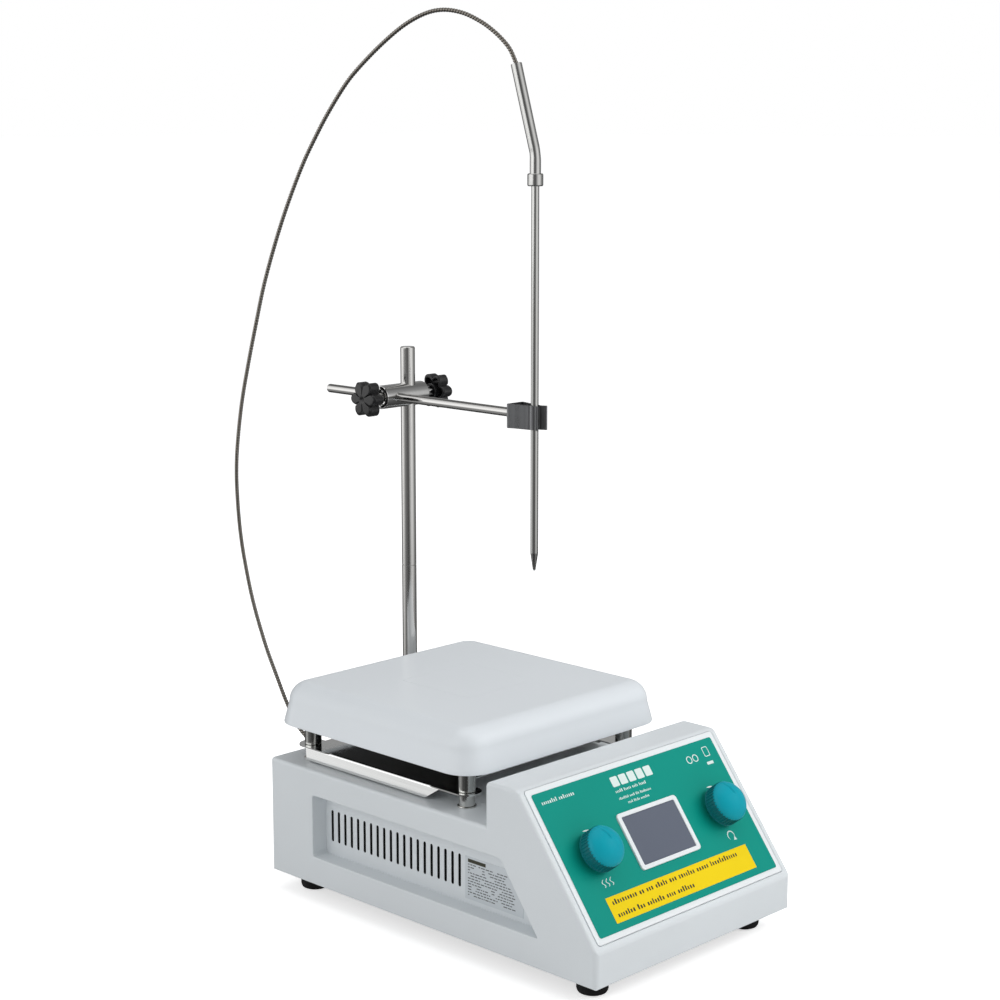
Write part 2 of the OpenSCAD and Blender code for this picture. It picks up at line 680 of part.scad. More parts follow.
module cross_arm() color("silver") place() {
    along_y(arm_x, arm_front, boss_z, arm_rear - arm_front - 0.5, arm_d / 2);
    translate([arm_x, arm_rear - 0.5, boss_z]) rotate([-90, 0, 0])
        cylinder(h = 0.5, r1 = arm_d / 2, r2 = arm_d / 2 - 0.5);
}

// Strip of sheet from a to b, seen from above.
module strip(a, b)
    translate(a) rotate(atan2(b[1] - a[1], b[0] - a[0])) translate([-0.5, -0.5]) square([norm(b - a) + 1, 1]);

// Spring clip: base on the arm's end, two converging sides, a round seat for the probe, flared lips.
module probe_clip() color("gray") place()
    translate([arm_x, arm_front, clip_z[0]]) linear_extrude(clip_z[1] - clip_z[0])
        difference() {
            union() {
                strip([-7.5, -0.5], [7.5, -0.5]);
                for (s = [-1, 1]) {
                    strip([s * 7.5, -0.5], [s * 2.6, 3.2 - clip_u]);
                    strip([s * 2.2, -2.3 - clip_u], [s * 3.8, -6.5 - clip_u]);
                }
                translate([0, -clip_u]) circle(probe_d / 2 + 1);
            }
            translate([0, -clip_u]) circle(probe_d / 2 + fit);
            translate([-1.9, -clip_u - 8]) square([3.8, 7]);
        }

// ---------- probe ----------

// Moves a shape drawn in the cable's plane (local x away from the probe, z up) into place.
module in_cable_plane() translate([arm_x, probe_y, 0]) rotate([0, 0, cable_az]) children();

module probe() color("silver") place() {
    tip_top = probe_tip + 11;
    translate([arm_x, probe_y, probe_tip]) cylinder(h = tip_top - probe_tip, r1 = 0.8, r2 = probe_d / 2);
    translate([arm_x, probe_y, tip_top]) cylinder(h = collar_z - tip_top, r = probe_d / 2);
    translate([arm_x, probe_y, collar_z]) cylinder(h = 8, r = 5);
    translate([arm_x, probe_y, handle_z[0]]) cylinder(h = handle_z[1] - handle_z[0], r = 3.5);
    in_cable_plane() translate([0, 0, handle_z[1]]) {
        sphere(3.5);
        rotate([0, handle_lean, 0]) cylinder(h = (handle_z[2] - handle_z[1]) / cos(handle_lean), r = 3.5);
    }
}

// Points of the cable: out of the handle, along the run, into the plug.
function in_plane(t, z) = [arm_x + t * cos(cable_az), probe_y + t * sin(cable_az), z];
cable_way = concat(
    [in_plane(handle_end[0], handle_end[1])],
    [for (p = cable_run) in_plane(p[0], p[1])],
    cable_end, [[plug_x, plug_y, plug_z]]
);
last = len(cable_way) - 1;

// Smooth curve through the points, two rings for each stretch.
function way(i) = cable_way[min(max(i, 0), last)];
function curve(i, t) = 0.5 * (2 * way(i) + (way(i + 1) - way(i - 1)) * t
    + (2 * way(i - 1) - 5 * way(i) + 4 * way(i + 1) - way(i + 2)) * t * t
    + (3 * way(i) - 3 * way(i + 1) + way(i + 2) - way(i - 1)) * t * t * t);
cable_line = concat([for (i = [0:last - 1], t = [0, 0.5]) curve(i, t)], [way(last)]);
function unit(v) = v / norm(v);
handle_way = [sin(handle_lean) * cos(cable_az), sin(handle_lean) * sin(cable_az), cos(handle_lean)];
function heading(i) = i == 0 ? handle_way
    : i == len(cable_line) - 1 ? [0, -1, 0]
    : unit(cable_line[i + 1] - cable_line[i - 1]);

sides = 8;
side_way = [-sin(cable_az), cos(cable_az), 0];
function ring(i) = let (h = heading(i), u = unit(cross(h, side_way)), v = cross(h, u))
    [for (k = [0:sides - 1], a = k * 360 / sides) cable_line[i] + cable_d / 2 * (cos(a) * u + sin(a) * v)];

module probe_cable() color("dimgray") place() {
    n = len(cable_line);
    polyhedron(
        points = [for (i = [0:n - 1]) each ring(i)],
        faces = concat(
            [[for (k = [0:sides - 1]) k]],
            [for (i = [0:n - 2], k = [0:sides - 1])
                let (a = i * sides, b = a + sides, j = (k + 1) % sides) [a + k, b + k, b + j, a + j]],
            [[for (k = [sides - 1:-1:0]) (n - 1) * sides + k]]
        )
    );
}

housing();
bottom_cover();
cover_screws();
foot_front_left();
foot_front_right();
foot_rear_left();
foot_rear_right();
panel_plate();
panel_overlay();
caution_strip();
display_bezel();
display_window();
display_module();
heat_knob();
stir_knob();
heat_potentiometer();
stir_potentiometer();
control_board();
power_board();
transformer();
heat_sink();
rating_label();
heating_plate();
heater_element();
insulation_pad();
plate_cover();
plate_sensor();
upper_spacers();
lower_spacers();
heat_shield();
pillar_screws();
stir_motor();
motor_bracket();
motor_standoffs();
motor_shaft();
magnet_holder();
drive_magnets();
mains_inlet();
inlet_pins();
inlet_screws();
fuse_drawer();
fuse();
switch_body();
power_rocker();
probe_socket();
probe_plug();
rod_bracket();
bracket_screws();
stand_rod();
boss_body();
rod_pad();
rod_knob();
rod_screw();
arm_pad();
arm_knob();
arm_screw();
cross_arm();
probe_clip();
probe();
probe_cable();
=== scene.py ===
# Heated magnetic stirrer with stand and probe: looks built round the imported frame.
# Pieces are drawn in bench millimetres (x across, y back from the front face, z up from the
# underside of the housing) and settled into the frame by BENCH.
import math
import random

import bmesh
import bpy
from mathutils import Matrix, Vector


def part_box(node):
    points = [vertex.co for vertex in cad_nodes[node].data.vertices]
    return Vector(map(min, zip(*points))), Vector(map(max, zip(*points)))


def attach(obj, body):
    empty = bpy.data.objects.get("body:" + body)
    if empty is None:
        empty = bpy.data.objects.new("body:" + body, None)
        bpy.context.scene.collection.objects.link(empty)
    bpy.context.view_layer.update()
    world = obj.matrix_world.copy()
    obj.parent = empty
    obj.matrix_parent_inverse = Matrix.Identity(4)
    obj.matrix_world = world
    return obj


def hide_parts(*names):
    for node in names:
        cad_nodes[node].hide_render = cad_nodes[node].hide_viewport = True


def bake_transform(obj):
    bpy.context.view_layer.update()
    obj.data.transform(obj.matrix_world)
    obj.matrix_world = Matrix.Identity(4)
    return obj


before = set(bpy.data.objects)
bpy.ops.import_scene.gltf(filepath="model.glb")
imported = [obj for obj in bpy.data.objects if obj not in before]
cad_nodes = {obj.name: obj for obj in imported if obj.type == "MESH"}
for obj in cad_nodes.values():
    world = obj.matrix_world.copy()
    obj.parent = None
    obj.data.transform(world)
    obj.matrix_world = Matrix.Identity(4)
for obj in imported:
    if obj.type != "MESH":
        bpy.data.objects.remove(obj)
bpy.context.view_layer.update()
scene = bpy.context.scene

housing_low, housing_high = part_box("housing")
BENCH = Matrix.Translation(((housing_low[0] + housing_high[0]) / 2, housing_low[1], housing_low[2]))
BENCH = BENCH @ Matrix.Scale(0.001, 4)

# Sizes in bench millimetres. A name with _S is a distance up the panel's slope.
BASE_W = 182.0
BASE_L = 286.0
DECK_H = 76.5
HOOD_H = 104.0
LIP_H = 21.5
SLOPE_Y = 62.5
HOOD_Y = 88.5
WALL = 3.0
SLOPE = math.atan2(HOOD_H - LIP_H, SLOPE_Y)
PLATE_W = 181.0
PLATE_T = 27.0
PLATE_Y = 193.5
PLATE_Z = 101.0
SHIELD_TOP = 86.2
PRINT_T = 0.06
ROD_X = 44.0
ROD_Y = 295.5
ROD_TOP = 334.0
BOSS_Z = 301.5
ARM_X = 28.0
ARM_FRONT = 179.5
ARM_REAR = 358.0
PROBE_Y = 161.5
DIAL_X = 57.5
DIAL_S = 54.2
DIAL_GAP = 3.9
SEAT_S = 53.0
FOOT_H = 12.0
PLUG = Vector((-23.0, 309.0, 60.0))


def new_object(name, data):
    obj = bpy.data.objects.new(name, data)
    scene.collection.objects.link(obj)
    return obj


# ---------- camera ----------

camera_data = bpy.data.cameras.new("camera")
camera_data.lens = 76.29
camera_data.sensor_width = 36.0
camera = new_object("camera", camera_data)
camera.location = (-0.9386, -0.9306, 0.5009)
camera.rotation_euler = (math.radians(90 - 10.308), 0.0, math.radians(-45.685))
scene.camera = camera


# ---------- node trees ----------

def shader_group(name, inputs, outputs):
    group = bpy.data.node_groups.new(name, "ShaderNodeTree")
    for label, kind, value in inputs:
        socket = group.interface.new_socket(label, in_out="INPUT", socket_type=kind)
        if value is not None:
            socket.default_value = value
    for label in outputs:
        group.interface.new_socket(label, in_out="OUTPUT", socket_type="NodeSocketFloat")
    return group, group.nodes.new("NodeGroupInput"), group.nodes.new("NodeGroupOutput")


def feed(tree, socket, value):
    """Links the socket to another socket, or sets its value."""
    if isinstance(value, bpy.types.NodeSocket):
        tree.links.new(value, socket)
    else:
        socket.default_value = value


def add_node(tree, kind, inputs=None, **settings):
    """A new node, with its settings made first and its inputs fed after them."""
    node = tree.nodes.new(kind)
    for name, value in settings.items():
        setattr(node, name, value)
    for key, value in (inputs or {}).items():
        feed(tree, node.inputs[key], value)
    return node


def noise(tree, vector, scale, detail=3.0, rough=0.5):
    node = add_node(tree, "ShaderNodeTexNoise",
                    {"Vector": vector, "Scale": scale, "Detail": detail, "Roughness": rough})
    return node.outputs["Fac"]


def ranged(tree, value, low, high):
    """The value eased from 0 at low to 1 at high."""
    node = add_node(tree, "ShaderNodeMapRange", {"Value": value, "From Min": low, "From Max": high},
                    interpolation_type="SMOOTHSTEP")
    return node.outputs["Result"]


def maths(tree, operation, *values):
    return add_node(tree, "ShaderNodeMath", dict(enumerate(values)), operation=operation).outputs[0]


def make_grain():
    """Fine moulded or cast grain, with the slow drift of tone that a large moulding has."""
    group, inp, out = shader_group(
        "grain",
        [("Vector", "NodeSocketVector", None), ("Cells per metre", "NodeSocketFloat", 900.0)],
        ["Height", "Drift"],
    )
    fine = noise(group, inp.outputs["Vector"], inp.outputs["Cells per metre"], 2.0, 0.55)
    group.links.new(ranged(group, fine, 0.3, 0.7), out.inputs["Height"])
    slow = noise(group, inp.outputs["Vector"], 9.0, 2.0)
    group.links.new(ranged(group, slow, 0.15, 0.85), out.inputs["Drift"])
    return group


def make_drawn_lines():
    """Fine lines left by drawing, rolling or turning. The Vector comes in stretched along the lines."""
    group, inp, out = shader_group(
        "drawn_lines", [("Vector", "NodeSocketVector", None)], ["Height", "Streak"]
    )
    lines = noise(group, inp.outputs["Vector"], 2600.0, 2.0, 0.6)
    group.links.new(ranged(group, lines, 0.25, 0.75), out.inputs["Height"])
    broad = noise(group, inp.outputs["Vector"], 420.0, 2.0, 0.5)
    group.links.new(ranged(group, broad, 0.35, 0.7), out.inputs["Streak"])
    return group


def make_handling():
    """Faint smudges and rubbed places from handling and wiping."""
    group, inp, out = shader_group("handling", [("Vector", "NodeSocketVector", None)], ["Smudge"])
    big = noise(group, inp.outputs["Vector"], 26.0, 4.0, 0.6)
    small = noise(group, inp.outputs["Vector"], 140.0, 3.0, 0.6)
    mixed = maths(group, "MULTIPLY", ranged(group, big, 0.48, 0.7), ranged(group, small, 0.3, 0.65))
    group.links.new(mixed, out.inputs["Smudge"])
    return group


GRAIN = make_grain()
DRAWN_LINES = make_drawn_lines()
HANDLING = make_handling()


# ---------- materials ----------

def paint(red, green, blue):
    """Colour from screen values of 0 to 255."""
    def linear(v):
        v = v / 255.0
        return v / 12.92 if v <= 0.04045 else ((v + 0.055) / 1.055) ** 2.4
    return (linear(red), linear(green), linear(blue), 1.0)


def shade(colour, factor):
    return (colour[0] * factor, colour[1] * factor, colour[2] * factor, 1.0)


def place_group(tree, group, vector):
    return add_node(tree, "ShaderNodeGroup", {"Vector": vector}, node_tree=group)


def surface(name, colour, rough=0.4, spread=0.06, cells=900.0, depth=0.02, drift=0.95,
            metal=0.0, lines=None, line_depth=0.0, specular=0.5, coat=0.0, smudge=0.06):
    """One material: a base colour that drifts slightly, grain or drawn lines, and handling marks."""
    material = bpy.data.materials.new(name)
    material.use_nodes = True
    tree = material.node_tree
    place = tree.nodes.new("ShaderNodeTexCoord").outputs["Object"]
    if lines:
        stretch = add_node(tree, "ShaderNodeMapping", {"Vector": place, "Scale": lines})
        pattern = place_group(tree, DRAWN_LINES, stretch.outputs["Vector"])
        tone, depth = pattern.outputs["Streak"], line_depth
    else:
        pattern = place_group(tree, GRAIN, place)
        pattern.inputs["Cells per metre"].default_value = cells
        tone = pattern.outputs["Drift"]
    mix = add_node(tree, "ShaderNodeMix", {"Factor": tone, "A": shade(colour, drift), "B": colour},
                   data_type="RGBA")
    smudges = place_group(tree, HANDLING, place).outputs["Smudge"]
    uneven = maths(tree, "MULTIPLY_ADD", tone, spread, rough - spread / 2)
    bump = add_node(tree, "ShaderNodeBump", {"Height": pattern.outputs["Height"], "Strength": 1.0,
                                             "Distance": depth * 0.001})
    shader = tree.nodes["Principled BSDF"]
    for key, value in (
        ("Base Color", mix.outputs["Result"]), ("Metallic", metal), ("Specular IOR Level", specular),
        ("IOR", 1.5), ("Coat Weight", coat), ("Coat Roughness", 0.08), ("Normal", bump.outputs["Normal"]),
        ("Roughness", maths(tree, "MULTIPLY_ADD", smudges, smudge, uneven)),
    ):
        feed(tree, shader.inputs[key], value)
    return material


ALONG_X = (0.01, 1.0, 1.0)
ALONG_Y = (1.0, 0.01, 1.0)
ALONG_Z = (1.0, 1.0, 0.01)

HOUSING_GREY = surface("housing_grey", paint(222, 227, 230), rough=0.38, cells=1100.0, depth=0.012,
                       drift=0.975)
PANEL_WHITE = surface("panel_white", paint(236, 240, 242), rough=0.32, cells=1300.0, depth=0.006,
                      drift=0.98)
ENAMEL = surface("plate_enamel", paint(228, 233, 237), rough=0.3, spread=0.02, cells=240.0,
                 depth=0.001, drift=0.985, smudge=0.0)
OVERLAY_GREEN = surface("overlay_green", paint(0, 148, 133), rough=0.45, cells=2200.0, depth=0.004,
                        drift=0.95, specular=0.16, smudge=0.03)
CAUTION_YELLOW = surface("caution_yellow", paint(246, 214, 0), rough=0.45, cells=2200.0,
                         depth=0.004, drift=0.97, specular=0.2)
PRINT_WHITE = surface("print_white", paint(226, 240, 236), rough=0.45, cells=3000.0, depth=0.003)
PRINT_DARK = surface("print_dark", paint(52, 52, 34), rough=0.45, cells=3000.0, depth=0.003)
PRINT_GREY = surface("print_grey", paint(92, 95, 98), rough=0.45, cells=3000.0, depth=0.003)
# Painted shade: the inside faces of the base, seen through the vent slots, are coloured near-black in place
# of the shade in the hollow.
INSIDE_PAINTED_SHADE = surface("housing_inside", paint(34, 35, 36), rough=0.7, cells=900.0, depth=0.02,
                      specular=0.2)
SCREEN = surface("screen_grey", paint(100, 106, 120), rough=0.25, cells=2600.0, depth=0.002,
                 drift=0.96, specular=0.25, smudge=0.0)
DIAL_TEAL = surface("dial_teal", paint(0, 160, 178), rough=0.42, cells=1800.0, depth=0.006,
                    drift=0.95, specular=0.2, smudge=0.03)
# Painted shade: the skirt takes a darker copy of the cap's teal, standing in for the shade on the knob's
# side.
DIAL_SKIRT_PAINTED_SHADE = surface("dial_skirt", paint(0, 112, 118), rough=0.45, cells=1800.0, depth=0.01,
                     drift=0.9, specular=0.3)
RUBBER = surface("foot_rubber", paint(26, 26, 27), rough=0.75, cells=1500.0, depth=0.05, drift=0.8,
                 specular=0.3)
SCREW_STEEL = surface("screw_steel", paint(176, 176, 172), rough=0.3, metal=1.0, cells=1600.0,
                      depth=0.01, drift=0.85)
COVER_PAINT = surface("cover_paint", paint(52, 52, 54), rough=0.6, cells=1300.0, depth=0.03,
                      drift=0.85)
RIM_BLACK = surface("plate_cover_paint", paint(38, 38, 40), rough=0.5, cells=1300.0, depth=0.03,
                    drift=0.85)
SPACER_STEEL = surface("spacer_steel", paint(205, 205, 202), rough=0.16, metal=1.0, lines=ALONG_Z,
                       line_depth=0.004, drift=0.9)
SHIELD_MIRROR = surface("shield_mirror", paint(226, 227, 226), rough=0.07, spread=0.04, metal=1.0,
                        lines=ALONG_Y, line_depth=0.002, drift=0.96)
ROD_STAINLESS = surface("rod_stainless", paint(206, 205, 203), rough=0.13, spread=0.06, metal=1.0,
                        lines=ALONG_Z, line_depth=0.005, drift=0.93)
ARM_STAINLESS = surface("arm_stainless", paint(206, 205, 203), rough=0.13, spread=0.06, metal=1.0,
                        lines=ALONG_Y, line_depth=0.005, drift=0.93)
PROBE_STAINLESS = surface("probe_stainless", paint(190, 190, 188), rough=0.16, spread=0.07,
                          metal=1.0, lines=ALONG_Z, line_depth=0.004, drift=0.9)
BOSS_CHROME = surface("boss_chrome", paint(214, 214, 213), rough=0.06, spread=0.04, metal=1.0,
                      cells=500.0, depth=0.008, drift=0.95)
GRIP_BLACK = surface("grip_black", paint(30, 30, 31), rough=0.3, cells=1500.0, depth=0.012,
                     drift=0.85)
THREAD_STEEL = surface("thread_steel", paint(150, 149, 146), rough=0.28, metal=1.0, cells=1500.0,
                       depth=0.01, drift=0.8)
CLIP_GREY = surface("clip_grey", paint(128, 129, 131), rough=0.3, spread=0.1, metal=0.9,
                    lines=ALONG_Z, line_depth=0.01, drift=0.85)
ARMOUR = surface("cable_armour", paint(142, 137, 130), rough=0.26, metal=1.0, cells=2400.0,
                 depth=0.01, drift=0.75)
LABEL_FILM = surface("label_film", paint(206, 212, 216), rough=0.35, cells=2200.0, depth=0.003,
                     drift=0.98)
INLET_BLACK = surface("inlet_black", paint(28, 28, 29), rough=0.42, cells=1400.0, depth=0.02,
                      drift=0.85)
PIN_NICKEL = surface("pin_nickel", paint(196, 190, 172), rough=0.22, metal=1.0, cells=1600.0,
                     depth=0.006, drift=0.9)
CONNECTOR = surface("connector_nickel", paint(188, 187, 184), rough=0.26, metal=1.0, cells=1700.0,
                    depth=0.008, drift=0.9)
CAST = surface("cast_bracket", paint(176, 177, 178), rough=0.42, metal=1.0, cells=900.0,
               depth=0.04, drift=0.88)
PCB_GREEN = surface("circuit_board", paint(12, 92, 52), rough=0.35, cells=1800.0, depth=0.01,
                    drift=0.7)
CORE_BROWN = surface("transformer_core", paint(140, 92, 48), rough=0.5, lines=ALONG_X,
                     line_depth=0.03, drift=0.7)
ALUMINIUM = surface("bare_aluminium", paint(190, 191, 193), rough=0.34, metal=1.0, lines=ALONG_Z,
                    line_depth=0.01, drift=0.88)
MICA = surface("mica_heater", paint(170, 150, 110), rough=0.5, cells=300.0, depth=0.05, drift=0.75)
FIBRE = surface("fibre_pad", paint(228, 224, 212), rough=0.9, cells=1600.0, depth=0.15, drift=0.88,
                specular=0.2)
MOTOR_PAINT = surface("motor_paint", paint(84, 88, 94), rough=0.45, cells=1000.0, depth=0.03,
                      drift=0.85)
ZINC = surface("bracket_zinc", paint(168, 172, 168), rough=0.35, metal=1.0, cells=160.0,
               depth=0.01, drift=0.82)
BRASS = surface("turned_brass", paint(196, 158, 84), rough=0.28, metal=1.0, lines=ALONG_Z,
                line_depth=0.008, drift=0.85)
SHAFT_STEEL = surface("ground_steel", paint(182, 182, 180), rough=0.2, metal=1.0, lines=ALONG_Z,
                      line_depth=0.005, drift=0.9)
HOLDER = surface("machined_holder", paint(160, 161, 164), rough=0.32, metal=1.0, lines=ALONG_X,
                 line_depth=0.008, drift=0.88)
MAGNET = surface("magnet_nickel", paint(198, 194, 184), rough=0.14, metal=1.0, cells=900.0,
                 depth=0.008, drift=0.92)
CAN_METAL = surface("pot_can", paint(166, 166, 164), rough=0.34, metal=1.0, cells=1200.0,
                    depth=0.01, drift=0.88)
MODULE_BLACK = surface("display_body", paint(40, 44, 44), rough=0.45, cells=1400.0, depth=0.02,
                       drift=0.85)
FUSE_GLASS = surface("fuse_tube", paint(220, 232, 232), rough=0.08, spread=0.03, cells=500.0,
                     depth=0.003, drift=0.97, coat=0.5)


# ---------- mesh kit, in bench millimetres ----------

IN_PLACE = Matrix.Identity(4)
FACING_X = Matrix.Rotation(math.radians(90), 4, "Y")
FACING_MINUS_X = Matrix.Rotation(math.radians(-90), 4, "Y")
FACING_Y = Matrix.Rotation(math.radians(-90), 4, "X")
# Local x runs to the rear, local y up, local z to the right.
SIDE_ON = Matrix(((0, 0, 1, 0), (1, 0, 0, 0), (0, 1, 0, 0), (0, 0, 0, 1)))


def at(x, y, z, turn=IN_PLACE):
    return Matrix.Translation((x, y, z)) @ turn


def on_slope(x, s, h=0.0):
    """Local y runs up the panel's slope and local z points out of it."""
    foot = Matrix.Translation((x, s * math.cos(SLOPE), LIP_H + s * math.sin(SLOPE)))
    return foot @ Matrix.Rotation(SLOPE, 4, "X") @ Matrix.Translation((0, 0, h))


def as_object(name, bm):
    bmesh.ops.remove_doubles(bm, verts=bm.verts, dist=1e-4)
    bmesh.ops.recalc_face_normals(bm, faces=bm.faces)
    mesh = bpy.data.meshes.new(name)
    bm.to_mesh(mesh)
    bm.free()
    return new_object(name, mesh)


def loft(name, rings, place=IN_PLACE, loop=False):
    """Skin over rings of equal count: capped at both ends, or closed on itself."""
    bm = bmesh.new()
    rows = [[bm.verts.new(place @ Vector(p)) for p in ring] for ring in rings]
    for a, b in zip(rows, rows[1:] + (rows[:1] if loop else [])):
        for i in range(len(a)):
            j = (i + 1) % len(a)
            bm.faces.new((a[i], a[j], b[j], b[i]))
    if not loop:
        bm.faces.new(rows[0])
        bm.faces.new(rows[-1])
    return as_object(name, bm)


def turned(name, profile, place=IN_PLACE, segments=64, loop=False):
    """Turned shape from (radius, height) pairs about local z."""
    angles = [2 * math.pi * i / segments for i in range(segments)]
    way = [(math.cos(a), math.sin(a)) for a in angles]
    return loft(name, [[(r * c, r * s, h) for c, s in way] for r, h in profile], place, loop)


def prism(name, outline, low, high, place=IN_PLACE):
    return loft(name, [[(x, y, low) for x, y in outline], [(x, y, high) for x, y in outline]], place)


def block(name, low, high, place=IN_PLACE):
    outline = [(low[0], low[1]), (high[0], low[1]), (high[0], high[1]), (low[0], high[1])]
    return prism(name, outline, low[2], high[2], place)


def rounded_box(width, length, radius, steps=8):
    """Outline of a rectangle with rounded corners, about the origin."""
    points = []
    for corner, (sx, sy) in enumerate(((1, 1), (-1, 1), (-1, -1), (1, -1))):
        for k in range(steps + 1):
            a = math.pi / 2 * (corner + k / steps)
            x = sx * (width / 2 - radius) + radius * math.cos(a)
            y = sy * (length / 2 - radius) + radius * math.sin(a)
            points.append((x, y))
    return points


def rounded_corners(points, radius, steps=5):
    """Closed outline with each corner replaced by a short curve."""
    out = []
    for i, here in enumerate(points):
        here = Vector(here)
        before = Vector(points[i - 1])
        after = Vector(points[(i + 1) % len(points)])
        a = here + (before - here).normalized() * radius
        b = here + (after - here).normalized() * radius
        for k in range(steps + 1):
            t = k / steps
            out.append(tuple(a * (1 - t) ** 2 + here * 2 * t * (1 - t) + b * t ** 2))
    return out


def evaluated_mesh(obj):
    graph = bpy.context.evaluated_depsgraph_get()
    return bpy.data.meshes.new_from_object(obj.evaluated_get(graph), depsgraph=graph)


def bake(obj):
    """Applies the modifiers and drops them."""
    mesh = evaluated_mesh(obj)
    old = obj.data
    obj.modifiers.clear()
    obj.data = mesh
    bpy.data.meshes.remove(old)
    return obj


def combine(obj, others, how):
    for other in others:
        step = obj.modifiers.new("combine", "BOOLEAN")
        step.solver = "EXACT"
        step.operation = how
        step.object = other
        bake(obj)
        bpy.data.objects.remove(other)
    return obj


def cut(obj, *others):
    return combine(obj, others, "DIFFERENCE")


def fuse(obj, *others):
    return combine(obj, others, "UNION")


def gather(name, *objs):
    """Puts several closed shapes in one object."""
    bm = bmesh.new()
    for obj in objs:
        obj.data.transform(obj.matrix_world)
        bm.from_mesh(obj.data)
        bpy.data.objects.remove(obj)
    mesh = bpy.data.meshes.new(name)
    bm.to_mesh(mesh)
    bm.free()
    return new_object(name, mesh)


def soften(obj, width, segments=2, angle=30.0):
    edge = obj.modifiers.new("edge", "BEVEL")
    edge.width = width
    edge.segments = segments
    edge.limit_method = "ANGLE"
    edge.angle_limit = math.radians(angle)
    edge.use_clamp_overlap = True
    edge.harden_normals = False
    return bake(obj)


def from_cad(name, node, width, segments=2):
    """A joined copy of a CAD node, in bench millimetres, with its edges eased."""
    bm = bmesh.new()
    bm.from_mesh(cad_nodes[node].data)
    bm.transform(BENCH.inverted() @ cad_nodes[node].matrix_world)
    bmesh.ops.remove_doubles(bm, verts=bm.verts, dist=1e-3)
    flat = math.radians(0.8)
    bmesh.ops.dissolve_limit(bm, angle_limit=flat, verts=bm.verts, edges=bm.edges)
    obj = as_object(name, bm)
    return soften(obj, width, segments)


def shade_piece(obj, sharp=32.0, weighted=True):
    obj.data.shade_smooth()
    obj.data.set_sharp_from_angle(angle=math.radians(sharp))
    if weighted:
        step = obj.modifiers.new("normals", "WEIGHTED_NORMAL")
        step.keep_sharp = True
        step.weight = 60
        bake(obj)


def settle(obj, body, material, nodes=(), sharp=32.0, weighted=True):
    """Moves the finished shape into the frame, gives it its finish and lets it ride."""
    obj.data.transform(BENCH)
    if material:
        obj.data.materials.clear()
        obj.data.materials.append(material)
    shade_piece(obj, sharp, weighted)
    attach(obj, body)
    if nodes:
        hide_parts(*nodes)
    return obj


# ---------- geometry node trees ----------

def geometry_tree(name, inputs):
    tree = bpy.data.node_groups.new(name, "GeometryNodeTree")
    tree.interface.new_socket("Geometry", in_out="INPUT", socket_type="NodeSocketGeometry")
    for label, kind in inputs:
        tree.interface.new_socket(label, in_out="INPUT", socket_type=kind)
    tree.interface.new_socket("Geometry", in_out="OUTPUT", socket_type="NodeSocketGeometry")
    return tree, tree.nodes.new("NodeGroupInput").outputs, tree.nodes.new("NodeGroupOutput").inputs


def finish_tree(tree, geometry, material, out):
    """Every tree ends by making its copies real and giving them their material."""
    real = add_node(tree, "GeometryNodeRealizeInstances", {"Geometry": geometry})
    coat = add_node(tree, "GeometryNodeSetMaterial",
                    {"Geometry": real.outputs["Geometry"], "Material": material})
    tree.links.new(coat.outputs["Geometry"], out["Geometry"])
    return tree


def make_ring_tree():
    """Copies the shape round local z."""
    tree, inp, out = geometry_tree(
        "ring_of", [("Count", "NodeSocketInt"), ("Material", "NodeSocketMaterial")]
    )
    points = add_node(tree, "GeometryNodePoints", {"Count": inp["Count"]})
    index = tree.nodes.new("GeometryNodeInputIndex").outputs["Index"]
    turn = maths(tree, "DIVIDE", maths(tree, "MULTIPLY", index, 2 * math.pi), inp["Count"])
    angles = add_node(tree, "ShaderNodeCombineXYZ", {"Z": turn})
    copies = add_node(tree, "GeometryNodeInstanceOnPoints", {
        "Points": points.outputs[0], "Instance": inp["Geometry"], "Rotation": angles.outputs[0],
    })
    return finish_tree(tree, copies.outputs["Instances"], inp["Material"], out)


def make_row_tree():
    """Copies the shape along a straight row."""
    tree, inp, out = geometry_tree(
        "row_of",
        [("Count", "NodeSocketInt"), ("Step", "NodeSocketVector"), ("Material", "NodeSocketMaterial")],
    )
    line = add_node(tree, "GeometryNodeMeshLine", {"Count": inp["Count"], "Offset": inp["Step"]},
                    mode="OFFSET")
    copies = add_node(tree, "GeometryNodeInstanceOnPoints",
                      {"Points": line.outputs["Mesh"], "Instance": inp["Geometry"]})
    return finish_tree(tree, copies.outputs["Instances"], inp["Material"], out)


def make_places_tree():
    """Puts a copy of one object, such as a screw, at each vertex of the places mesh."""
    tree, inp, out = geometry_tree(
        "one_at_each_place", [("Piece", "NodeSocketObject"), ("Material", "NodeSocketMaterial")]
    )
    piece = add_node(tree, "GeometryNodeObjectInfo", {"Object": inp["Piece"]})
    copies = add_node(tree, "GeometryNodeInstanceOnPoints",
                      {"Points": inp["Geometry"], "Instance": piece.outputs["Geometry"]})
    return finish_tree(tree, copies.outputs["Instances"], inp["Material"], out)


def captured(tree, name, geometry, value):
    """Keeps the value on the geometry under the name."""
    node = tree.nodes.new("GeometryNodeCaptureAttribute")
    node.capture_items.new("FLOAT", name)
    tree.links.new(geometry, node.inputs["Geometry"])
    tree.links.new(value, node.inputs[name])
    return node.outputs


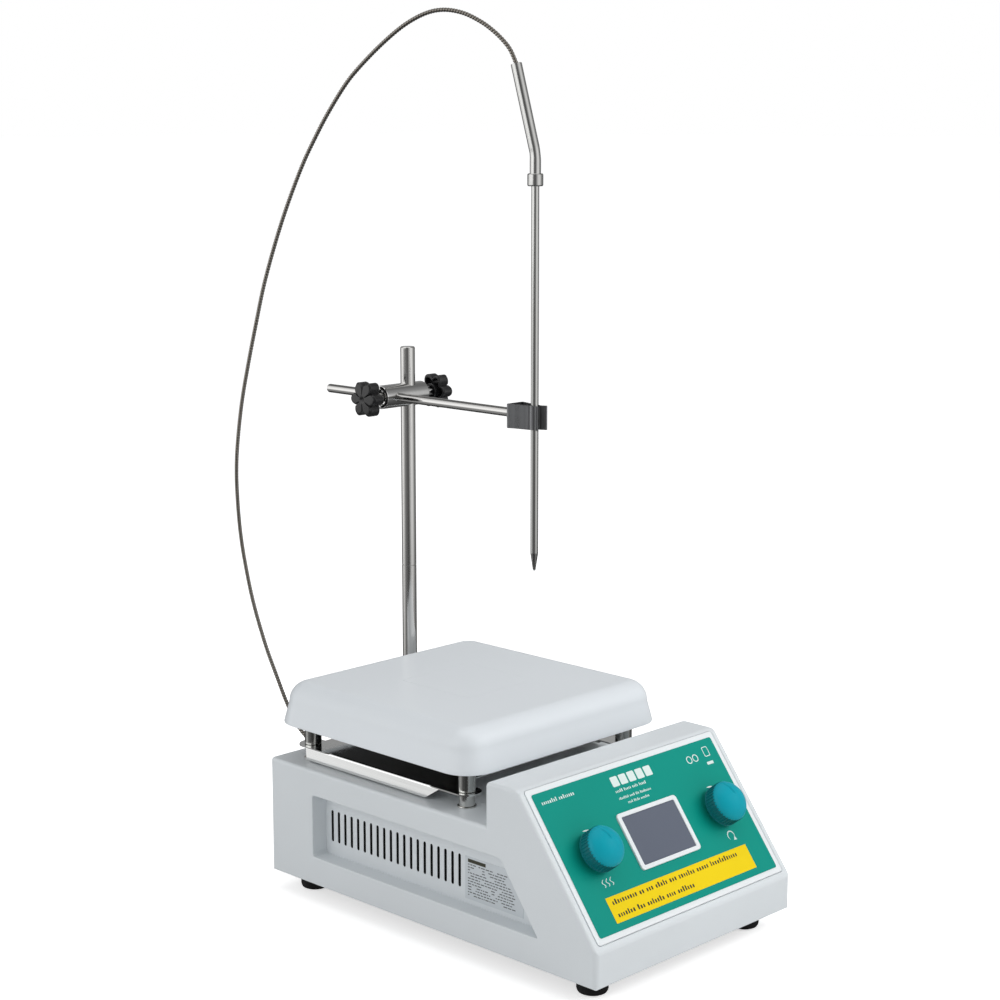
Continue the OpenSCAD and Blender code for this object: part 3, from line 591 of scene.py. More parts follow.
def make_armour_tree():
    """Wound steel hose: a tube along the curve whose skin rises and falls as the strip winds round."""
    tree, inp, out = geometry_tree(
        "wound_armour",
        [("Radius", "NodeSocketFloat"), ("Pitch", "NodeSocketFloat"), ("Depth", "NodeSocketFloat"),
         ("Material", "NodeSocketMaterial")],
    )
    resample = add_node(tree, "GeometryNodeResampleCurve", {
        "Curve": inp["Geometry"], "Length": maths(tree, "DIVIDE", inp["Pitch"], STEPS_A_TURN),
    }, mode="LENGTH")
    along = tree.nodes.new("GeometryNodeSplineParameter").outputs["Length"]
    spine = captured(tree, "Along", resample.outputs["Curve"], along)
    section = add_node(tree, "GeometryNodeCurvePrimitiveCircle",
                       {"Resolution": HOSE_SIDES, "Radius": inp["Radius"]})
    around = tree.nodes.new("GeometryNodeSplineParameter").outputs["Factor"]
    rim = captured(tree, "Around", section.outputs["Curve"], around)
    tube = add_node(tree, "GeometryNodeCurveToMesh", {
        "Curve": spine["Geometry"], "Profile Curve": rim["Geometry"], "Fill Caps": True,
    })
    turns = maths(tree, "ADD", maths(tree, "DIVIDE", spine["Along"], inp["Pitch"]), rim["Around"])
    wave = maths(tree, "SINE", maths(tree, "MULTIPLY", turns, 2 * math.pi))
    lift = add_node(tree, "ShaderNodeVectorMath", {
        0: tree.nodes.new("GeometryNodeInputNormal").outputs["Normal"],
        "Scale": maths(tree, "MULTIPLY", wave, inp["Depth"]),
    }, operation="SCALE")
    moved = add_node(tree, "GeometryNodeSetPosition",
                     {"Geometry": tube.outputs["Mesh"], "Offset": lift.outputs["Vector"]})
    smooth = add_node(tree, "GeometryNodeSetShadeSmooth", {"Geometry": moved.outputs["Geometry"]})
    return finish_tree(tree, smooth.outputs["Geometry"], inp["Material"], out)


# Points along the hose in one turn of its winding, and round its section.
STEPS_A_TURN = 6.0
HOSE_SIDES = 12
RING_OF = make_ring_tree()
ROW_OF = make_row_tree()
AT_EACH_PLACE = make_places_tree()
WOUND_ARMOUR = make_armour_tree()


def grow(obj, tree, **values):
    """Runs a geometry tree on the object and keeps the result as its mesh."""
    step = obj.modifiers.new("grow", "NODES")
    step.node_group = tree
    for item in tree.interface.items_tree:
        if item.in_out == "INPUT" and item.name in values:
            step[item.identifier] = values[item.name]
    if obj.type == "MESH":
        return bake(obj)
    mesh = evaluated_mesh(obj)
    name = obj.name
    bpy.data.objects.remove(obj)
    return new_object(name, mesh)


# ---------- probe cable ----------

CABLE_D = 2.8
WINDING_PITCH = 1.9
WINDING_DEPTH = 0.14
CABLE_AZ = math.radians(109)
# Distance from the probe in the cable's upright plane, and height.
CABLE_RUN = [
    (13.2, 520), (17.2, 528.2), (22.7, 534.6), (30, 540.8), (38.5, 546.2), (50, 551.2), (63, 553.3),
    (75.8, 551.4), (90.8, 544.6), (106.6, 533.5), (122.7, 519.7), (134, 508), (147.1, 490.1),
    (157.6, 473.3), (167.6, 455.3), (180, 428), (189.8, 402.5), (198.4, 376.5), (205, 351.2),
    (211.4, 325.3), (217.4, 298), (221.4, 271), (223, 250), (222.6, 229), (221, 208), (218, 188),
    (212, 160), (203, 131), (195, 111), (187, 92), (179, 77),
]
CABLE_END = [(-27.5, 323, 68), (-25.5, 317, 63), (-23.5, 312.5, 60.5), tuple(PLUG)]


def in_cable_plane(t, z):
    return Vector((ARM_X + t * math.cos(CABLE_AZ), PROBE_Y + t * math.sin(CABLE_AZ), z))


cable_points = [in_cable_plane(t, z) for t, z in CABLE_RUN] + [Vector(p) for p in CABLE_END]


def smooth_between(points, i, steps):
    """Points of the smooth curve from points[i] to points[i + 1], the last one left out."""
    p = [points[min(max(k, 0), len(points) - 1)] for k in (i - 1, i, i + 1, i + 2)]
    out = []
    for k in range(steps):
        t = k / steps
        out.append(0.5 * (2 * p[1] + (p[2] - p[0]) * t + (2 * p[0] - 5 * p[1] + 4 * p[2] - p[3]) * t ** 2
                          + (3 * p[1] - 3 * p[2] + p[3] - p[0]) * t ** 3))
    return out


def cable_stretch(name, first, last):
    """One stretch of the cable, wound in armour, from one of its points to another."""
    line = []
    for i in range(first, last):
        line += smooth_between(cable_points, i, 6)
    line.append(cable_points[last])
    curve = bpy.data.curves.new(name, "CURVE")
    curve.dimensions = "3D"
    spline = curve.splines.new("POLY")
    spline.points.add(len(line) - 1)
    for point, place in zip(spline.points, line):
        point.co = (*place, 1.0)
    obj = grow(new_object(name, curve), WOUND_ARMOUR, Radius=CABLE_D / 2 - 0.11, Pitch=WINDING_PITCH,
               Depth=WINDING_DEPTH, Material=ARMOUR)
    obj.data.transform(BENCH)
    obj.data.shade_smooth()
    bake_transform(obj)
    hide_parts("probe_cable")
    return obj


# ---------- probe plug, at the lower end of the cable ----------

def make_probe_plug():
    shell = turned("probe_plug_shell", [
        (0, -28.5), (4.0, -28.5), (4.4, -28.1), (4.4, -21), (6.1, -21), (6.5, -20.6), (6.5, -11.4),
        (6.1, -11), (5.5, -11), (5.3, -9.6), (5.3, -8.8), (4.9, -8.6), (4.9, -7.4), (4.7, -7.2),
        (4.5, -5.6), (4.1, -5.4), (4.1, -4.4), (3.8, -4.2), (3.4, -2.4), (3.0, -2.2), (3.0, -1.2),
        (2.7, -1.0), (2.5, 0), (0, 0),
    ], at(*PLUG, FACING_Y))
    ridge = loft("knurl", [
        [(6.3, -0.26, z), (6.3, 0.26, z), (6.62, 0.08, z), (6.62, -0.08, z)] for z in (-20.4, -11.6)
    ])
    knurl = grow(ridge, RING_OF, Count=40, Material=CONNECTOR)
    knurl.data.transform(at(*PLUG, FACING_Y))
    plug = gather("probe_plug_body", shell, knurl)
    return settle(plug, "base", CONNECTOR, ["probe_plug"])


probe_plug = make_probe_plug()
last_point = len(cable_points) - 1
CABLE_TOP, CABLE_HIGH, CABLE_LOW = 13, 18, 22
cable_stretch("cable_to_handle", 0, CABLE_TOP)
cable_stretch("cable_upper", CABLE_TOP, CABLE_HIGH)
cable_stretch("cable_middle", CABLE_HIGH, CABLE_LOW)
cable_stretch("cable_to_plug", CABLE_LOW, last_point)


# ---------- base ----------

def bevelled_base():
    """Outer form of the base, with a radius of its own on each edge."""
    outline = [(0, 0), (0, LIP_H), (SLOPE_Y, HOOD_H), (HOOD_Y, HOOD_H), (HOOD_Y, DECK_H), (BASE_L, DECK_H),
               (BASE_L, 0)]
    across = [0.8, 1.6, 3.2, 3.2, 1.4, 2.6, 0.8]
    along = [3.4, 2.0, 2.2, 2.4, 2.2, 3.4, 0.8]
    widest = max(across + along)
    bm = bmesh.new()
    left = [bm.verts.new((-BASE_W / 2, y, z)) for y, z in outline]
    right = [bm.verts.new((BASE_W / 2, y, z)) for y, z in outline]
    bm.faces.new(left)
    bm.faces.new(right)
    for i in range(len(outline)):
        j = (i + 1) % len(outline)
        bm.faces.new((left[i], left[j], right[j], right[i]))
    bmesh.ops.recalc_face_normals(bm, faces=bm.faces)
    weight = bm.edges.layers.float.new("bevel_weight_edge")
    for i in range(len(outline)):
        j = (i + 1) % len(outline)
        bm.edges.get((left[i], right[i]))[weight] = across[i] / widest
        for side in (left, right):
            bm.edges.get((side[i], side[j]))[weight] = along[i] / widest
    mesh = bpy.data.meshes.new("housing_shell")
    bm.to_mesh(mesh)
    bm.free()
    obj = new_object("housing_shell", mesh)
    edge = obj.modifiers.new("edge", "BEVEL")
    edge.width = widest
    edge.segments = 4
    edge.limit_method = "WEIGHT"
    return bake(obj)


RECESS_D = 12.0
RECESS_FLOOR = BASE_W / 2 - RECESS_D
SLOT_COUNT = 20
SLOT_STEP = 6.13
SLOT_Y = 122.0
SLOT_Z = 37.8


def recess_outline(grow_by):
    low, high = 18.5, 59.5
    front, rear = 45.5, 244.5
    lean = (high - low) / math.tan(SLOPE)
    return [(rear + grow_by, low - grow_by), (rear + grow_by, high + grow_by),
            (front - grow_by + lean, high + grow_by), (front - grow_by, low - grow_by)]


def recess_pocket(side):
    """Side recess with rounded corners and an eased mouth."""
    edge = BASE_W / 2
    depths = [(RECESS_FLOOR, 0.0), (edge - 1.0, 0.0), (edge - 0.35, 0.25), (edge + 0.05, 0.95),
              (edge + 2, 3.0)]
    rings = []
    for x, flare in depths:
        outline = rounded_corners(recess_outline(flare), 2.4)
        rings.append([(side * x, y, z) for y, z in outline])
    return loft("recess_pocket", rings)


def recess_wall(side):
    return prism("recess_wall", recess_outline(WALL), side * (RECESS_FLOOR - WALL),
                 side * (BASE_W / 2 + 5), SIDE_ON)


def slot_row(side):
    """Cutters for the row of vent slots, eased at their mouths."""
    half_w, reach = 1.1, 9.4
    depths = [(RECESS_FLOOR - WALL - 1, 0.0), (RECESS_FLOOR - 0.12, 0.0), (RECESS_FLOOR + 0.02, 0.12),
              (RECESS_FLOOR + 0.8, 0.6)]
    rings = []
    for x, flare in depths:
        r = half_w + flare
        ring = []
        for k in range(16):
            a = math.pi * (k % 8) / 7 + (0 if k < 8 else math.pi)
            up = reach if k < 8 else -reach
            ring.append((side * x, r * math.cos(a), up + r * math.sin(a)))
        rings.append(ring)
    cutter = loft("slot_cutter", rings, at(0, SLOT_Y, SLOT_Z))
    return grow(cutter, ROW_OF, Count=SLOT_COUNT, Step=(0.0, SLOT_STEP, 0.0), Material=HOUSING_GREY)


def inner_space():
    """The hollow of the base, less the walls round the two recesses."""
    t = WALL
    drop, rise = t / math.cos(SLOPE), math.tan(SLOPE)
    outline = [(t, -6), (t, LIP_H + t * rise - drop), ((HOOD_H - t - LIP_H + drop) / rise, HOOD_H - t),
               (HOOD_Y - t, HOOD_H - t), (HOOD_Y - t, DECK_H - t), (BASE_L - t, DECK_H - t),
               (BASE_L - t, -6)]
    space = prism("inner_space", outline, -BASE_W / 2 + t, BASE_W / 2 - t, SIDE_ON)
    return cut(space, recess_wall(-1), recess_wall(1))


def make_housing():
    shell = bevelled_base()
    cut(shell, inner_space(), recess_pocket(-1), recess_pocket(1), slot_row(-1), slot_row(1))
    seat = loft("panel_seat", [
        [(x, y, h) for x, y in rounded_box(172.7 + 2 * g, 98.7 + 2 * g, 2.3 + g)]
        for h, g in ((-1.5, 0.0), (-0.45, 0.0), (0.02, 0.5), (3.0, 3.4))
    ], on_slope(0, SEAT_S))
    window = block("panel_window", (-80, -42, -10), (80, 42, 2), on_slope(0, SEAT_S))
    cut(shell, seat, window)
    cut(shell, turned("shaft_hole", [(0, DECK_H - 8), (9, DECK_H - 8), (9, DECK_H + 1), (0, DECK_H + 1)],
                      at(0, PLATE_Y, 0)))
    cut(shell,
        block("inlet_hole", (-71.6, BASE_L - 5, 22.8), (-44.4, BASE_L + 1, 49)),
        block("rocker_hole", (-28.6, BASE_L - 5, 20.4), (-15.4, BASE_L + 1, 39.6)),
        turned("socket_hole", [(0, -6), (6.1, -6), (6.1, 2), (0, 2)], at(-23, BASE_L, 60, FACING_Y)))
    settle(shell, "base", HOUSING_GREY, ["housing"], sharp=28.0)
    shell.data.materials.append(INSIDE_PAINTED_SHADE)
    # The faces inside, which show through the slots, take the second material: near-black painted shade for
    # the hollow behind the slots.
    to_bench = BENCH.inverted()
    for face in shell.data.polygons:
        middle = to_bench @ face.center
        if abs(middle.x) < RECESS_FLOOR - 0.2 and 42 < middle.y < 248 and 14 < middle.z < 64:
            face.material_index = 1
    return shell


def make_feet():
    sole = -FOOT_H
    for name in ("front_left", "front_right", "rear_left", "rear_right"):
        node = "foot_" + name
        low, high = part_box(node)
        middle = BENCH.inverted() @ Vector(((low[0] + high[0]) / 2, (low[1] + high[1]) / 2, 0))
        foot = turned("rubber_" + name, [
            (0, sole + 1.4), (5.0, sole + 1.4), (5.6, sole + 0.2), (6.4, sole), (7.4, sole),
            (8.6, sole + 0.6), (9.2, sole + 1.6), (9.5, sole + 2.8), (9.5, -0.9), (9.2, -0.3), (8.7, 0),
            (0, 0),
        ], at(middle.x, middle.y, 0), 48)
        settle(foot, "base", RUBBER, [node])


def screw(name, radius, height):
    """Pan-head screw, head upwards, with a cross recess."""
    head = turned(name, [(0, 0), (radius, 0), (radius, height * 0.35), (radius * 0.93, height * 0.66),
                         (radius * 0.7, height * 0.92), (radius * 0.35, height), (0, height)], segments=28)
    reach = radius * 0.5
    arm = radius * 0.14
    deep = height * 0.45
    for size in ((reach, arm), (arm, reach)):
        cutter = loft("cross", [
            [(x, y, deep) for x, y in rounded_box(size[0] * 1.4, size[1] * 1.4, arm * 0.3, 1)],
            [(x, y, height + 1) for x, y in rounded_box(size[0] * 2.2, size[1] * 2.2, arm * 0.3, 1)],
        ])
        cut(head, cutter)
    return head


def screws(name, head, turn, places, body, nodes):
    """A set of equal screws, one at each place."""
    head.data.transform(turn)
    mesh = bpy.data.meshes.new(name)
    mesh.from_pydata(places, [], [])
    obj = new_object(name, mesh)
    grow(obj, AT_EACH_PLACE, Piece=head, Material=SCREW_STEEL)
    bpy.data.objects.remove(head)
    return settle(obj, body, SCREW_STEEL, nodes)


def make_base_screws():
    down = Matrix.Rotation(math.pi, 4, "X")
    cover = [(side * x, y, 0) for side in (-1, 1) for x, y in ((65, 6), (85, 141), (85, 268))]
    inlet = [(x, BASE_L + 2.5, 36) for x in (-78, -38)]
    bracket = [(ROD_X + x, BASE_L + 4, z) for x, z in ((0, 26), (-10, 64), (10, 64))]
    for name, radius, height, turn, places in (
        ("cover_screw", 3.0, 1.8, down, cover),
        ("inlet_screw", 2.8, 1.5, FACING_Y, inlet),
        ("bracket_screw", 3.8, 1.2, FACING_Y, bracket),
    ):
        screws(name + "_heads", screw(name, radius, height), turn, places, "base", [name + "s"])


# ---------- control panel ----------

def flat_mark(name, outline, place):
    return prism(name, outline, 0.0, PRINT_T, place)


def ring_mark(name, outline, inner, place):
    """A stroke along the outline, whose inner edge is the outline made smaller."""
    return loft(name, [
        [(x * scale, y * scale, z) for x, y in outline]
        for scale, z in ((1.0, 0), (1.0, PRINT_T), (inner, PRINT_T), (inner, 0))
    ], place, loop=True)


def word_blocks(draw, words, x, s, size, h):
    """A line of plain blocks in the rhythm of print, with no letters in it."""
    marks = []
    for length in words:
        for _ in range(length):
            wide = size * draw.uniform(0.2, 0.32)
            tall = size * draw.choice((0.5, 0.5, 0.54, 0.74))
            box = [(0, 0), (wide, 0), (wide, tall), (0, tall)]
            marks.append(flat_mark("block", rounded_corners(box, wide * 0.3, 2), on_slope(x, s, h)))
            x += wide + size * 0.25
        x += size * 0.4
    return marks


def arc_outline(radius, start, end, thick):
    """A curved stroke that tapers to both ends."""
    steps = 20
    outer, inner = [], []
    for k in range(steps + 1):
        t = k / steps
        a = math.radians(start + (end - start) * t)
        half = max(0.04, thick / 2 * math.sin(math.pi * min(max(t, 0.03), 0.97)) ** 0.7)
        outer.append(((radius + half) * math.cos(a), (radius + half) * math.sin(a)))
        inner.append(((radius - half) * math.cos(a), (radius - half) * math.sin(a)))
    return outer + inner[::-1]


def make_panel():
    for name, node, edge, segments, finish, slot in (
        ("panel_sheet", "panel_plate", 0.3, 2, PANEL_WHITE, "panel_plastic"),
        ("display_frame", "display_bezel", 0.55, 4, PANEL_WHITE, "panel_plastic"),
        ("display_pane", "display_window", 0.3, 2, SCREEN, "display_glass"),
        ("overlay_film", "panel_overlay", 0.12, 2, OVERLAY_GREEN, "overlay_green"),
        ("caution_film", "caution_strip", 0.06, 1, CAUTION_YELLOW, "caution_yellow"),
    ):
        settle(from_cad(name, node, edge, segments), "base", finish, [node])
    # Heights of the overlay's and the caution strip's outer faces above the slope.
    film, strip = 0.4, 0.6
    draw = random.Random(7)
    white = word_blocks(draw, (8, 8), -77.5, 90.8, 3.4, film)
    for k in range(5):
        outline = rounded_box(6.2, 6.4, 0.8)
        white.append(flat_mark("plain_block", outline, on_slope(-14.3 + 7.6 * k, 90.6, film)))
    white += word_blocks(draw, (5, 5, 4, 5), -17.5, 83.6, 2.6, film)
    white += word_blocks(draw, (8, 4, 3, 9), -17.5, 79.0, 2.2, film)
    white += word_blocks(draw, (4, 5, 7), -11.7, 75.4, 2.2, film)
    white.append(flat_mark("mark_bar", rounded_box(6.0, 1.9, 0.5), on_slope(71.5, 82.8, film)))
    ring_r = 3.1 * 0.82
    ring = [(ring_r * math.cos(a), ring_r * math.sin(a)) for a in (math.radians(15 * k) for k in range(24))]
    for x in (54.8, 60.6):
        white.append(ring_mark("mark_ring", ring, 0.62 / 0.82, on_slope(x, 88.5, film)))
    frame_outline = rounded_box(5.2, 6.6, 1.0, 3)
    white.append(ring_mark("mark_frame", frame_outline, 0.84, on_slope(72.3, 90.4, film)))
    for x in (-DIAL_X, DIAL_X):
        arc = arc_outline(14.5, 50, 90, 1.4)
        white.append(flat_mark("dial_arc", arc, on_slope(x, DIAL_S, film)))
    # Heat: three rising waves. Stirring: a turning arrow.
    for dx in (-3.4, 0, 3.4):
        wave = [(dx + 0.9 * math.sin(k * 0.9), k * 0.62) for k in range(9)]
        outline = [(x - 0.3, y) for x, y in wave] + [(x + 0.3, y) for x, y in wave[::-1]]
        white.append(flat_mark("heat_wave", outline, on_slope(-DIAL_X, 33.4, film)))
    arrow_head = [(0.9, -3.2), (3.5, -3.4), (2.6, -0.6)]
    for name, outline in (("turn_arc", arc_outline(2.9, -40, 230, 0.8)), ("turn_head", arrow_head)):
        white.append(flat_mark(name, outline, on_slope(DIAL_X, 35.6, film)))
    settle(gather("panel_print", *white), "base", PRINT_WHITE, weighted=False)
    dark = word_blocks(draw, (10, 2, 3, 5, 3, 7, 5, 12), -61.5, 22.6, 4.3, strip)
    dark += word_blocks(draw, (7, 3, 7, 4, 7), -61.5, 14.8, 4.3, strip)
    settle(gather("caution_print", *dark), "base", PRINT_DARK, weighted=False)


def smoothstep(t):
    t = min(max(t, 0.0), 1.0)
    return t * t * (3 - 2 * t)


def polar_skin(name, radii, count, height, outline, floor_rings):
    """Top skin on a polar grid, carried down through the floor rings and closed below."""
    angles = [2 * math.pi * k / count for k in range(count)]

    def ring(r, height_at):
        around = [(r * outline(a), a) for a in angles]
        return [(reach * math.cos(a), reach * math.sin(a), height_at(reach, a)) for reach, a in around]

    rings = [ring(r, height) for r in radii]
    rings += [ring(r, lambda reach, a, z=z: z) for r, z in floor_rings]
    return loft(name, rings)


def make_dial(name, side, body, node):
    """Fluted skirt in a darker teal painted for shade, domed cap and a raised pointer that widens to the
    rim.
    """
    dome_r, top = 15.5, 16.0
    rim = 12.7

    def height(r, a):
        z = top - dome_r + math.sqrt(max(dome_r ** 2 - r ** 2, 0.0))
        edge = smoothstep((r - rim + 1.1) / 1.1)
        z -= 0.45 * edge * edge
        across = abs(r * math.cos(a))
        if math.sin(a) > 0:
            half = 0.3 + 1.55 * (r / rim)
            ridge = smoothstep(1 - (across - half) / 0.38) * smoothstep((r - 0.6) / 3.0)
            z += 0.62 * ridge * smoothstep((rim + 0.4 - r) / 0.8)
        return z

    radii = [0.0, 0.7, 1.5, 2.4, 3.3, 4.2, 5.1, 6.0, 6.9, 7.8, 8.6, 9.4, 10.1, 10.8, 11.3, 11.7, 12.0,
             12.25, 12.45, 12.6, rim]
    cap = polar_skin(name + "_cap", radii, 216, height, lambda a: 1.0,
                     [(12.75, 8.3), (12.75, 7.6), (0.0, 7.6)])
    skirt = turned(name + "_skirt", [
        (3.1, 0.1), (12.9, 0.1), (13.2, 0.4), (13.2, 1.1), (12.8, 1.4), (12.55, 8.1), (12.2, 8.6),
        (3.1, 8.6),
    ], segments=96, loop=True)
    rib = loft("rib", [
        [(r - 0.5, -0.46, z), (r + 0.2, -0.34, z), (r + 0.42, 0, z), (r + 0.2, 0.34, z), (r - 0.5, 0.46, z)]
        for r, z in ((12.7, 1.0), (12.85, 1.6), (12.75, 7.4), (12.6, 8.3), (12.2, 8.9))
    ])
    ribs = grow(rib, RING_OF, Count=38, Material=DIAL_SKIRT_PAINTED_SHADE)
    place = on_slope(side * DIAL_X, DIAL_S, DIAL_GAP)
    for piece in (cap, skirt, ribs):
        piece.data.transform(place)
    fluted = gather(name + "_fluted_skirt", skirt, ribs)
    # The skirt's darker teal is painted shade; the cap below keeps the knob's own teal.
    settle(fluted, body, DIAL_SKIRT_PAINTED_SHADE, [node], sharp=40, weighted=False)
    settle(cap, body, DIAL_TEAL, [node], sharp=50, weighted=False)


# ---------- heated plate ----------

def make_plate():
    """Enamelled pan: drafted sides, soft shoulders, a rolled lower edge and a hollow underside."""
    corner = 20.0
    outer = [(0.7, 0.0), (0.2, 0.25), (0.0, 0.8), (0.6, 3.2), (1.9, 8.0), (2.9, 11.6), (3.5, 14.0)]
    for k in range(1, 13):
        a = math.radians(90 * k / 12)
        outer.append((16.5 - 13 * math.cos(a), 14 + 13 * math.sin(a)))
    # The pan's roof ends at the edge of the core, a block fused in over the heater.
    inner = [(60.0, PLATE_T), (60.0, 14.0), (9.0, 14.0), (7.4, 12.0), (7.0, 2.0), (6.6, 0.3), (6.2, 0.0)]
    rings = []
    for inset, z in outer + inner:
        size = PLATE_W - 2 * inset
        rings.append([(x, y, z) for x, y in rounded_box(size, size, max(corner - inset, 1.5), 10)])
    plate = loft("plate_pan", rings, at(0, PLATE_Y, PLATE_Z), loop=True)
    core = block("plate_core", (-30.4, -30.4, 14.0), (30.4, 30.4, PLATE_T), at(0, PLATE_Y, PLATE_Z))
    fuse(plate, core)
    return settle(plate, "base", ENAMEL, ["heating_plate"], sharp=40)


PILLARS = [(sx * 72.0, PLATE_Y + sy * 71.0) for sx in (-1, 1) for sy in (-1, 1)]


def make_pillars():
    for name, nodes, profile in (
        ("pillars_upper", ["upper_spacers"],
         [(2.2, 86.2), (5.0, 86.2), (5.5, 86.6), (5.5, 100.5), (5.1, 101.0), (2.2, 101.0)]),
        ("pillars_lower", ["lower_spacers"],
         [(2.2, 77.3), (4.7, 77.3), (5.0, 77.6), (5.0, 85.0), (4.7, 85.4), (2.2, 85.4)]),
        ("pillar_washers", [],
         [(2.2, 76.5), (5.9, 76.5), (6.0, 76.7), (6.0, 77.1), (5.9, 77.3), (2.2, 77.3)]),
    ):
        spacers = [turned("spacer", profile, at(x, y, 0), 48, loop=True) for x, y in PILLARS]
        settle(gather(name, *spacers), "base", SPACER_STEEL, nodes)


def make_shield():
    """Bright sheet with a bent flange down each side and a tab round each pillar."""
    top, thick, edge, bend = SHIELD_TOP, 0.8, 80.0, 1.6
    front, rear, low = 137.0, 263.0, DECK_H + 1.0
    section = [(-edge - 0.5, low), (-edge, top - bend - 0.5)]
    for k in range(7):
        a = math.radians(90 * k / 6)
        section.append((-edge + bend - bend * math.cos(a), top - bend + bend * math.sin(a)))
    section += [(-x, z) for x, z in section[::-1]]
    bm = bmesh.new()
    rows = []
    for x, z in section:
        share = (top - z) / (top - low)
        rows.append([bm.verts.new((x, front + 13.5 * share, z)), bm.verts.new((x, rear - 1.5 * share, z))])
    for a, b in zip(rows, rows[1:]):
        bm.faces.new((a[0], b[0], b[1], a[1]))
    sheet = as_object("shield_sheet", bm)
    # The sheet's thickness goes inwards, under the top and inside the flanges.
    middle = max(sheet.data.polygons, key=lambda face: face.area)
    wall = sheet.modifiers.new("thickness", "SOLIDIFY")
    wall.thickness = thick
    wall.offset = -1.0 if middle.normal.z > 0 else 1.0
    bake(sheet)
    cut(sheet, turned("shield_hole", [(0, 80), (40, 80), (40, 90), (0, 90)], at(0, PLATE_Y, 0)))
    for x, y in PILLARS:
        reach = 20.0 if y < PLATE_Y else -20.0
        outline = rounded_box(18, 18, 8.9, 8)
        outline = [(px, py + (reach if py * reach > 0 else 0)) for px, py in outline]
        tab = prism("tab", outline, top - thick, top, at(x, y, 0))
        cut(tab, turned("tab_hole", [(0, 80), (2.1, 80), (2.1, 90), (0, 90)], at(x, y, 0), 24))
        fuse(sheet, tab)
    return settle(sheet, "base", SHIELD_MIRROR, ["heat_shield"])


# ---------- rear panel ----------

def make_rear():
    for name, node, body, edge, finish, slot in (
        ("inlet_body", "mains_inlet", "base", 0.5, INLET_BLACK, "inlet_black"),
        ("switch_frame", "switch_body", "base", 0.4, INLET_BLACK, "inlet_black"),
        ("socket_body", "probe_socket", "base", 0.3, CONNECTOR, "connector_metal"),
        ("rod_holder", "rod_bracket", "base", 0.8, CAST, "cast_bracket"),
        ("inlet_blades", "inlet_pins", "base", 0.3, PIN_NICKEL, "pin_brass"),
        ("switch_rocker", "power_rocker", "rocker", 0.4, INLET_BLACK, "inlet_black"),
        ("fuse_tray_body", "fuse_drawer", "fuse_tray", 0.4, INLET_BLACK, "inlet_black"),
    ):
        settle(from_cad(name, node, edge), body, finish, [node])


# ---------- stand ----------

def make_rod():
    """Plain bar with a fine joint line part of the way up."""
    rod = turned("stand_rod_bar", [
        (0, 35.2), (4.6, 35.2), (5, 35.6), (5, 182.6), (4.72, 182.8), (4.72, 183.1), (5, 183.3),
        (5, ROD_TOP - 0.8), (4.8, ROD_TOP - 0.4), (4.3, ROD_TOP), (0, ROD_TOP),
    ], at(ROD_X, ROD_Y, 0), 72)
    settle(rod, "rod", ROD_STAINLESS, ["stand_rod"])


def make_boss():
    """Chromed bar with crossing bores for the rod and the arm, open at its left end."""
    place = at(0, ROD_Y, BOSS_Z, FACING_X)
    body = turned("boss_bar", [
        (0, 18.0), (7.2, 18.0), (7.8, 18.3), (8.0, 18.9), (8.0, 56.1), (7.8, 56.7), (7.2, 57.0),
        (4.5, 57.0), (4.5, 63.5), (4.1, 64.0), (0, 64.0),
    ], place, 96)
    for name, r, bore_place, segments in (
        ("rod_bore", 5.06, at(ROD_X, ROD_Y, BOSS_Z), 64),
        ("arm_bore", 3.06, at(ARM_X, ROD_Y, BOSS_Z, FACING_Y), 48),
    ):
        cut(body, turned(name, [(0, -20), (r, -20), (r, 20), (0, 20)], bore_place, segments))
    threads = [(5.9, 17.0), (5.5, 18.5), (5.5, 21.0), (3.3, 21.4)]
    threads += [(3.3 if k % 2 else 3.02, 21.4 + 0.5 * k) for k in range(1, 8)]
    cut(body, turned("left_bore", [(0, 17.0)] + threads + [(0, threads[-1][1])], place, 48))
    right_bore = [(0, 44.0), (3.06, 44.0), (3.06, 63.2), (3.6, 64.5), (0, 64.5)]
    cut(body, turned("right_bore", right_bore, place, 48))
    soften(body, 0.22, 2, 38)
    return settle(body, "boss", BOSS_CHROME, ["boss_body"], sharp=40)


def star_grip(name):
    """Six-lobed grip on a short hub: creased front with a dimple, hollow back. Local z runs outwards."""
    def outline(a):
        return (8.5 + 4.0 * (0.5 + 0.5 * math.cos(6 * a)) ** 0.62) / 12.5

    def height(r, a):
        z = 11.4 - 0.0035 * r * r
        crease = abs(math.sin(3 * a + math.pi / 2))
        z -= 1.1 * smoothstep(1 - crease / 0.3) * smoothstep((r - 2.6) / 2.0)
        z -= 1.1 * smoothstep(1 - r / 2.2)
        z -= 1.3 * smoothstep((r / outline(a) - 10.9) / 1.6)
        return z

    radii = [0, 0.8, 1.6, 2.4, 3.3, 4.3, 5.4, 6.5, 7.6, 8.7, 9.7, 10.5, 11.2, 11.7, 12.1, 12.35, 12.5]
    edges = [(12.5, 9.0), (12.5, 3.2), (12.25, 2.5), (11.8, 2.1), (11.0, 2.0), (10.2, 2.2), (9.9, 2.9),
             (9.7, 6.0)]
    grip = polar_skin(name, radii, 144, height, outline, edges + [(6.5, 6.2), (0.0, 6.2)])
    hub = turned("hub", [(0, 0.3), (5.1, 0.3), (5.5, 0.7), (5.6, 7.0), (0, 7.0)], segments=48)
    return gather(name, grip, hub)


def thread(name, low, high, place):
    """Clamp screw with its thread."""
    profile = [(0, low), (2.6, low)]
    z = low + 0.3
    while z < high - 0.5:
        profile += [(3.0, z), (2.62, z + 0.5)]
        z += 1.0
    return turned(name, profile + [(2.9, high), (0, high)], place, 32)


